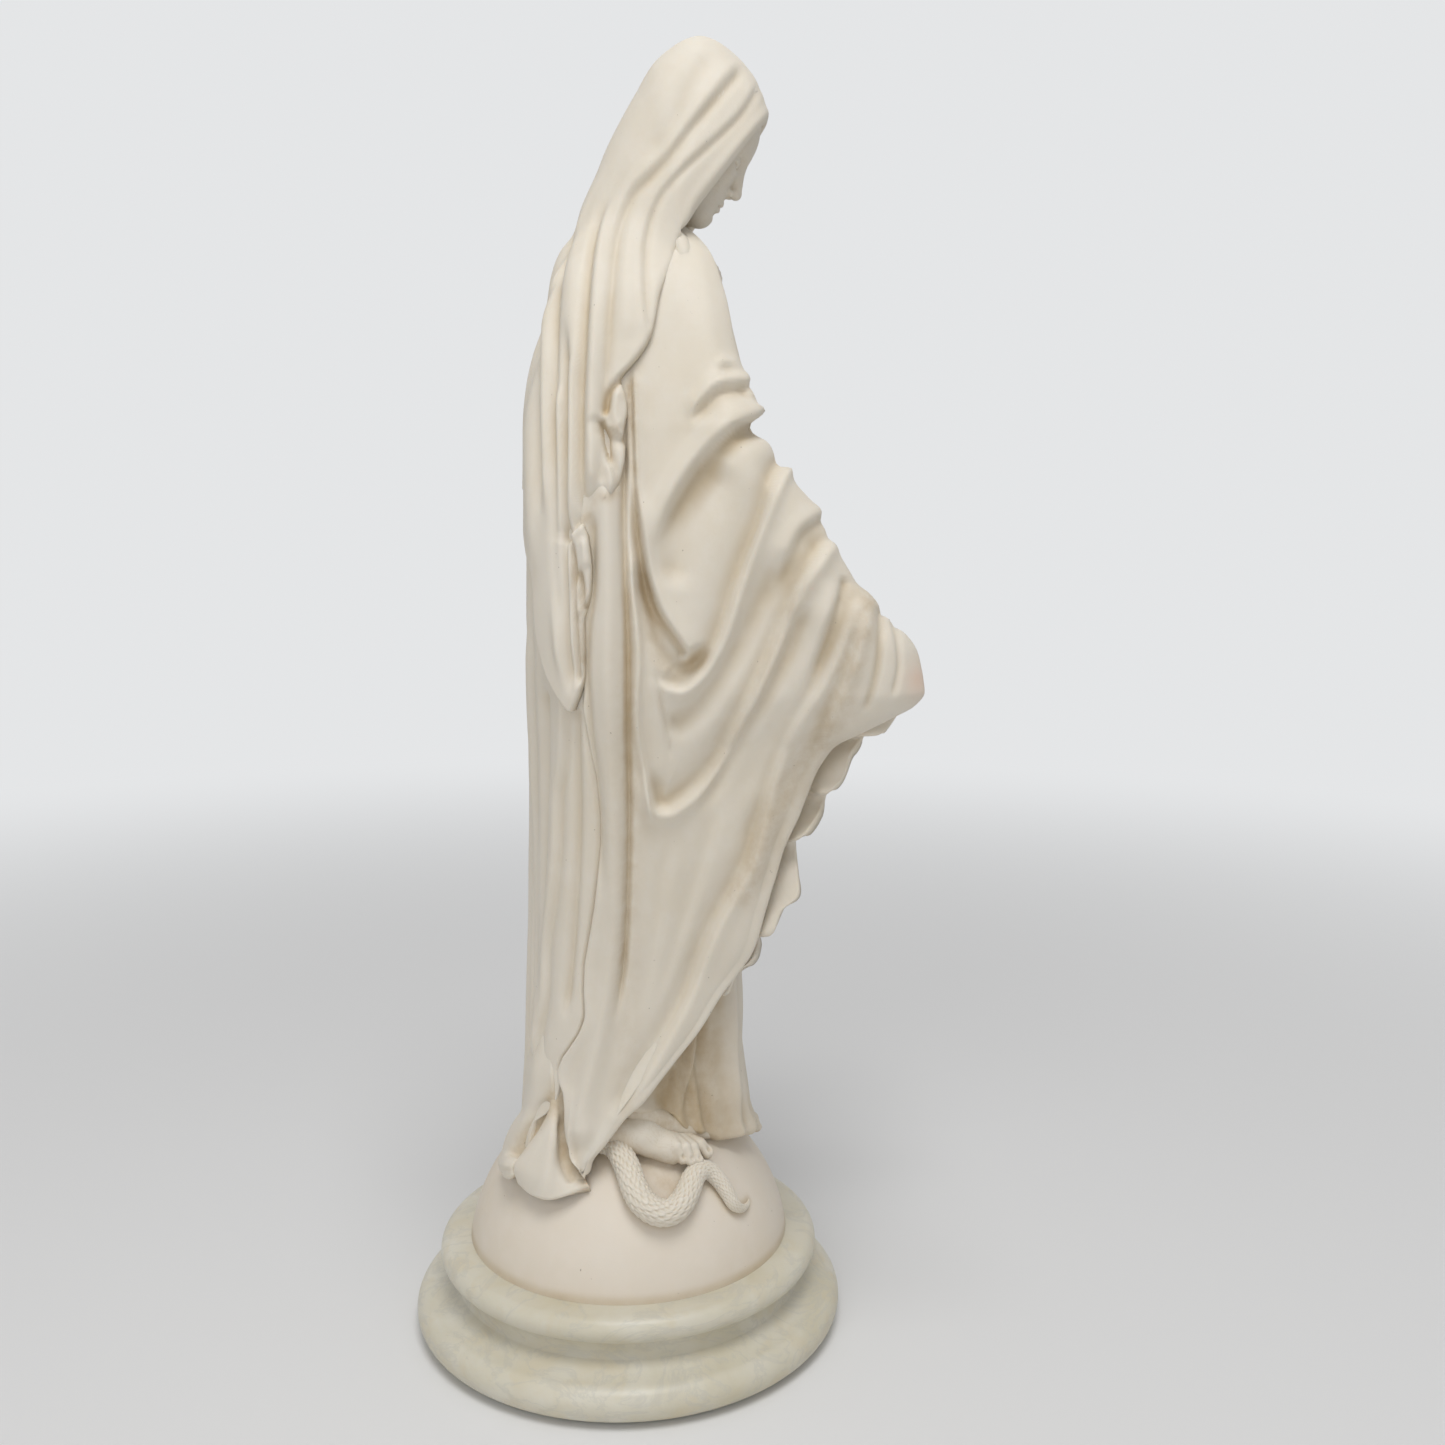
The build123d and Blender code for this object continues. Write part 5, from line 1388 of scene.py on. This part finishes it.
# ======================================================================================
# Feet: cast bare and bonded to the globe. The right foot slopes down over its shoulder,
# toes curled on the serpent; the left foot is its mirror, stepping down in front.
# ======================================================================================
foot_low, foot_high, foot_cell = (-53, -40, 69), (-16, 22, 112), 0.42
at = lattice(foot_low, foot_high, foot_cell)
foot = rod(at, (-31, 13, 96), (-29, 9, 111), 8.6, 7.2)
foot = blend_in(foot, rod(at, (-32.0, 12, 94.5), (-35.6, -5, 90.4), 7.6, 6.0), 5)
foot = blend_in(foot, rod(at, (-35.6, -5, 90.4), (-36.6, -14.5, 86.2), 6.0, 5.0), 4)
foot = blend_in(foot, rod(at, (-34.0, 12, 90), (-38.6, -8.5, 86.0), 4.4, 2.8), 3)
foot = blend_in(foot, rod(at, (-38.6, -8.5, 86.0), (-39.4, -17.0, 82.2), 2.8, 2.6), 3)
foot = blend_in(foot, rod(at, (-37.0, -14.5, 85.6), (-31.5, -23.6, 83.4), 4.4, 3.9), 3.5)
toes = (((-37.0, -11.5, 88.6), (-39.2, -14.4, 88.2), (-40.0, -14.4, 84.6), 2.1, 1.7),
        ((-36.4, -15.0, 88.6), (-39.9, -18.2, 87.0), (-41.0, -20.6, 82.0), 2.05, 1.7),
        ((-35.2, -18.2, 88.0), (-39.0, -21.8, 86.2), (-40.9, -23.8, 81.2), 2.0, 1.7),
        ((-33.4, -20.8, 87.2), (-37.0, -24.8, 85.4), (-39.4, -26.8, 81.0), 2.0, 1.7),
        ((-30.4, -21.0, 86.2), (-33.6, -27.4, 84.6), (-34.2, -30.4, 81.6), 2.7, 2.3))
ankle_side = column((-35.0, 4.0, 97.0))
for root, knuckle, tip, thick, slim in toes:
    toe = blend_in(rod(at, root, knuckle, thick, thick * 1.04), rod(at, knuckle, tip, thick * 0.96, slim),
                   0.5)
    toe = blend_in(toe, ball(at, tip, slim * 1.12), 0.6)
    toe = blend_in(toe, rod(at, ankle_side * 0.35 + column(root) * 0.65, root, 0.9, thick * 0.7), 1.2)
    outward = column(tip) - globe_middle
    outward = outward / np.linalg.norm(outward)
    nail = column(tip) + outward * (slim + 0.62)
    toe = blend_out(toe, ball(at, nail, slim * 0.66), 0.25)
    foot = blend_in(foot, toe, 0.9)


def foot_varnish_and_shade(at):
    """Old varnish mixed with painted shade: along the sole where it meets the globe, and towards the back of
    the foot under the cloak's edge.
    """
    lift = np.linalg.norm(at - globe_middle, axis=1) - globe_radius
    return 0.9 * (1 - smooth_step(3, 11, lift)) + 0.7 * smooth_step(-8, 6, at[:, 1])


clay("foot_right", foot_low, foot_cell, foot, np.eye(4), "right_foot", 1.5, foot_varnish_and_shade)


seat_radius = 66.0


def on_globe(bearing, from_top, lift):
    """A point over the globe: bearing from the front, angle down from its top, height off its seat."""
    reach, spin, down = seat_radius + lift, np.radians(bearing), np.radians(from_top)
    return np.stack([reach * np.sin(down) * np.sin(spin), -reach * np.sin(down) * np.cos(spin),
                     globe_centre + reach * np.cos(down)], axis=-1)


def frame_of(first, second):
    """Three square axes from two directions out of the globe's middle."""
    a = (first - globe_middle) / np.linalg.norm(first - globe_middle)
    b = np.cross(a, second - globe_middle)
    b /= np.linalg.norm(b)
    return np.stack([a, b, np.cross(a, b)], axis=1)


# The left foot is the right one mirrored, then rolled round the globe to its own heel and toes.
flipped = np.diag([-1.0, 1.0, 1.0])
new_way = frame_of(on_globe(34, 17, 3), on_globe(18, 54, 2))
old_way = frame_of(on_globe(118, 22, 7), on_globe(50, 40, 6))
rolled_round = new_way @ old_way.T @ flipped
left_place = np.eye(4)
left_place[:3, :3] = rolled_round
left_place[:3, 3] = globe_middle - rolled_round @ globe_middle
hem_low, hem_high, hem_cell = (-48, -38, 74), (-14, 14, 110), 0.5
at = lattice(hem_low, hem_high, hem_cell)
turned_hem = strand(at, [(-33, 12, 100), (-34.6, 2, 101.5), (-34.4, -6, 99.6), (-32.6, -13, 95.4),
                         (-30, -20, 90.4), (-26.5, -27, 86.4), (-20, -35, 82.6)],
                    (3.4, 3.6, 3.4, 3.0, 2.4, 1.8))
hem_bends = (
    ([(-36, 8, 98.5), (-37, 0, 99.4), (-36, -7, 97.2), (-34.2, -13.5, 93), (-31, -20, 88.8)],
     (1.2, 1.5, 1.5, 1.3, 0.8)),
    ([(-37, 3, 101.8), (-36.8, -4, 101.2), (-34.8, -10, 98.4), (-32.4, -16, 94)], (0.8, 1.1, 1.1, 0.7)),
    ([(-35, 6, 95.5), (-36.5, -2, 96.6), (-35.8, -9, 93.6), (-33.5, -15, 90.4), (-29.5, -22, 86.8)],
     (1.0, 1.3, 1.3, 0.9)))
for bend, thick in hem_bends:
    turned_hem = blend_in(turned_hem, strand(at, bend, thick), 1.4)
# Painted shade: the turned hem under the cloak is darkened all over in varnish-brown.
clay("gown_turned_hem", hem_low, hem_cell, turned_hem, np.eye(4), "gown",
     1.8, lambda at: np.full(len(at), 0.95))
clay("foot_left", foot_low, foot_cell, foot, left_place, "left_foot", 1.5, foot_varnish_and_shade)

# ======================================================================================
# Serpent: cast as one long piece and bonded down. It winds over the globe under the feet,
# with the same scales from neck to tail, each lapping the next.
# ======================================================================================
serpent_route = column([
    (58, 63), (60, 55), (66, 46), (78, 37), (95, 27), (122, 19), (150, 17), (180, 19), (210, 25), (235, 30),
    (254, 31), (262, 32.5),
    (266.5, 36.5), (269.6, 41), (272.1, 46.6), (275.3, 51), (280.6, 54.3), (285.5, 54.8), (291, 52.6),
    (295.6, 49), (299.6, 46),
    (304.5, 44.6), (309, 45.6), (311.8, 49.4), (313.2, 54), (314.2, 57.9), (316.6, 60.1), (320.2, 61),
    (323.6, 60.6), (325.2, 59.8)])
serpent_thick = column([3.6, 4.1, 4.4, 4.7, 4.8, 4.9, 4.9, 4.9, 4.9, 4.9, 4.9, 4.9, 4.9, 5.0, 5.1, 5.2, 5.1,
                        5.0, 4.9, 4.7, 4.4, 4.0, 3.6, 3.3, 3.0, 2.6, 2.0, 1.3, 0.7, 0.3])
route = np.concatenate([serpent_route, serpent_thick[:, None]], axis=1)
route = through(route, np.linspace(0, len(route) - 1, 900))
thick = route[:, 2:3]
spine = on_globe(route[:, 0], route[:, 1], thick[:, 0] * 0.80)
ahead = np.gradient(spine, axis=0)
pace = np.linalg.norm(ahead, axis=1)
ahead /= pace[:, None]
off = spine - globe_middle
off -= ahead * (off * ahead).sum(axis=1, keepdims=True)
off /= np.linalg.norm(off, axis=1, keepdims=True)
aside = np.cross(ahead, off)
spin = np.linspace(0, 2 * math.pi, 109)[None, :]
scales_round = 13
# Each scale reaches back under the two rows behind it, and has a low keel along its middle.
row_spacing = 0.42
rows_at = np.cumsum(pace / np.maximum(thick[:, 0], 1.0))[:, None] / row_spacing
round_at = spin / (2 * math.pi) * scales_round
round_at = round_at + 0.10 * np.sin(rows_at * 1.7 + 3 * spin) + 0.08 * np.sin(rows_at * 0.9 - 5 * spin)
rows_at = rows_at + 0.12 * np.sin(round_at * 2.3 + rows_at * 0.7)
lapped = np.zeros(rows_at.shape[:1] + spin.shape[1:])
for back in (0, 1, 2):
    row = np.floor(rows_at) - back
    down = rows_at - row
    off_keel = round_at + 0.5 * (row % 2)
    off_keel = off_keel - np.round(off_keel)
    width = 0.54 * np.sqrt(np.clip(1 - np.clip((down - 0.5) / 1.45, 0, 1) ** 2.2, 0, 1))
    rim_share = np.clip((width - np.abs(off_keel)) / 0.20, 0, 1)
    shape = (0.25 + 0.75 * np.clip(down / 1.9, 0, 1)) * np.sqrt(np.clip(rim_share * (2 - rim_share), 0, 1))
    shape -= 0.18 * hill(off_keel, 0.07) * (width > 0.15)
    lapped = np.maximum(lapped, np.where(width > 0.02, shape, 0))
scale_high = 0.21 * thick
girth = thick * (1 - 0.075) + scale_high * (lapped - 0.35)
belly = 1 - 0.10 * smooth_step(0.2, 1.0, -np.cos(spin))
outward = np.cos(spin)[..., None] * off[:, None] + np.sin(spin)[..., None] * aside[:, None]
serpent_grid = spine[:, None] + (girth * belly)[..., None] * outward
# Painted shade between the scales and along the belly that lies on the globe.
serpent_hollow = np.clip((0.66 - lapped) * 1.9, 0, 1) + 0.35 * smooth_step(0.0, 0.9, -np.cos(spin))
cast_in(closed_loft("serpent_body", serpent_grid[:, ::-1], np.clip(serpent_hollow[:, ::-1], 0, 1)), "serpent")
skull_low, skull_high, skull_cell = (-7, -12, -7), (7, 12, 8), 0.3
at = lattice(skull_low, skull_high, skull_cell)
away = (np.abs(at[0]), at[1], at[2])
skull = ball(at, (0, 1.5, 0), (5.2, 7.0, 3.9))
skull = blend_in(skull, ball(at, (0, -5.0, -0.5), (3.5, 5.0, 2.9)), 2.5)
skull = blend_in(skull, rod(at, (0, 11, 0.3), (0, 4, 0.2), 3.3, 3.6), 2)
skull = blend_in(skull, rod(away, (2.6, -4, 2.0), (3.7, 2.5, 2.5), 0.7, 0.9), 1.0)
skull = blend_out(skull, rod(away, (0, -10.2, -1.1), (3.9, -5.0, -1.0), 0.32), 0.35)
skull = blend_out(skull, rod(away, (3.9, -5.0, -1.0), (5.2, 1.5, -0.6), 0.32), 0.35)
skull = blend_in(skull, ball(away, (3.4, -2.4, 1.5), 1.05), 0.15)
skull = blend_out(skull, ball(away, (1.1, -9.3, 1.0), 0.35), 0.25)
skull_at = on_globe(57.4, 66.5, 3.4)
skull_up = (skull_at - globe_middle) / np.linalg.norm(skull_at - globe_middle)
skull_back = spine[0] - skull_at
skull_back -= skull_up * (skull_back @ skull_up)
skull_back /= np.linalg.norm(skull_back)
skull_place = standing(skull_at, np.cross(skull_back, skull_up), skull_back, skull_up)
clay("serpent_head", skull_low, skull_cell, skull, skull_place, "serpent", 1.5)

# Painted shade mixed with grime on the globe: along the serpent where it lies on it, in the seam over the
# plinth, and round the feet with old varnish.
skin = vertices_of(globe)
to_spine = (np.sqrt(((skin[:, None, :] - spine[None, ::8]) ** 2).sum(axis=-1)) - thick[None,
                                                                                       ::8, 0]).min(axis=1)
contact_shade_and_grime = 0.75 * (1 - smooth_step(plinth_high - 0.5, plinth_high + 3, skin[:, 2]))
contact_shade_and_grime += 0.65 * (1 - smooth_step(0.3, 2.8, to_spine))
golden_and_shade = np.zeros(len(skin))
for spot, wide, deep in (((-44, -14, 74.5), 7.5, 0.85), ((-39, -17, 78.5), 6, 0.9), ((-38, -6, 81.5), 7, 0.8),
                         ((-36, 8, 83), 8, 0.6)):
    golden_and_shade = np.maximum(golden_and_shade, deep * np.exp(-((skin - spot) ** 2).sum(axis=-1) / wide ** 2))
paint_age_and_shade(globe, contact_shade_and_grime, golden_and_shade)

# ======================================================================================
# Room, light and view: a white paper floor that fades into a pale room, one large soft
# light above and a weaker one in front, and a close camera that looks slightly down.
# ======================================================================================
bpy.ops.mesh.primitive_plane_add(size=14, location=(0, 0, 0))
floor = bpy.context.active_object
floor.name = floor.data.name = "floor"
paper, tree, surface = shader_nodes("paper")
set_dials(surface, {"Base Color": (0.80, 0.80, 0.80, 1), "Roughness": 0.9})
pale_colour = (0.78, 0.79, 0.80, 1)
# Away from the object the paper fades, and the camera sees the room's pale colour instead.
nodes, links = tree.nodes, tree.links
spot, far_off, fading, eye, seen, glow, mixed = (nodes.new("ShaderNode" + kind) for kind in (
    "TexCoord", "VectorMath", "MapRange", "LightPath", "Math", "Emission", "MixShader"))
far_off.operation, fading.interpolation_type, seen.operation = "LENGTH", "SMOOTHSTEP", "MULTIPLY"
set_dials(fading, {"From Min": 0.30, "From Max": 1.5})
glow.inputs["Color"].default_value = pale_colour
links.new(spot.outputs["Object"], far_off.inputs[0])
links.new(far_off.outputs["Value"], fading.inputs["Value"])
links.new(fading.outputs["Result"], seen.inputs[0])
links.new(eye.outputs["Is Camera Ray"], seen.inputs[1])
links.new(seen.outputs["Value"], mixed.inputs["Fac"])
links.new(surface.outputs["BSDF"], mixed.inputs[1])
links.new(glow.outputs["Emission"], mixed.inputs[2])
links.new(mixed.outputs["Shader"], nodes["Material Output"].inputs["Surface"])
floor.data.materials.append(paper)

world = bpy.data.worlds.new("room")
bpy.context.scene.world = world
world.use_nodes = True
sky, links = world.node_tree.nodes, world.node_tree.links
set_dials(sky["Background"], {"Color": (0.96, 0.96, 0.96, 1), "Strength": 0.40})
pale, both, ray, either = (sky.new("ShaderNode" + kind) for kind in ("Background", "MixShader", "LightPath",
                                                                     "Math"))
set_dials(pale, {"Color": pale_colour, "Strength": 1.0})
either.operation = "MAXIMUM"
links.new(ray.outputs["Is Camera Ray"], either.inputs[0])
links.new(ray.outputs["Is Glossy Ray"], either.inputs[1])
links.new(either.outputs["Value"], both.inputs["Fac"])
links.new(sky["Background"].outputs["Background"], both.inputs[1])
links.new(pale.outputs["Background"], both.inputs[2])
links.new(both.outputs["Shader"], sky["World Output"].inputs["Surface"])


def soft_light(name, place, aim, size, power):
    """A square lamp turned towards a point."""
    light = bpy.data.lights.new(name, "AREA")
    light.shape = "SQUARE"
    light.size = size
    light.energy = power
    lamp = bpy.data.objects.new(name, light)
    bpy.context.collection.objects.link(lamp)
    lamp.location = place
    lamp.rotation_mode = "QUATERNION"
    lamp.rotation_quaternion = (Vector(aim) - Vector(place)).to_track_quat("-Z", "Y")


soft_light("ceiling", (-0.62, -0.05, 1.75), (0, 0, 0.28), 0.75, 13.5)
soft_light("fill", (-1.7, 0.5, 0.9), (0, 0, 0.25), 1.3, 6.5)

camera_data = bpy.data.cameras.new("camera")
camera = bpy.data.objects.new("camera", camera_data)
bpy.context.collection.objects.link(camera)
camera_data.lens = 34.7
camera_data.clip_start, camera_data.clip_end = 0.01, 50
pitch, yaw, roll = math.radians(7.5), math.radians(3.96), math.radians(0.2)
forward = Vector((math.cos(yaw) * math.cos(pitch), -math.sin(yaw) * math.cos(pitch), -math.sin(pitch)))
level = Vector((-math.sin(yaw), -math.cos(yaw), 0))
upward = level.cross(forward)
right = math.cos(roll) * level + math.sin(roll) * upward
upward = -math.sin(roll) * level + math.cos(roll) * upward
turned = Matrix((right, upward, -forward)).transposed().to_4x4()
camera.matrix_world = Matrix.Translation((-0.553, 0, 0.320)) @ turned
bpy.context.scene.camera = camera
bpy.context.scene.view_settings.view_transform = "Standard"
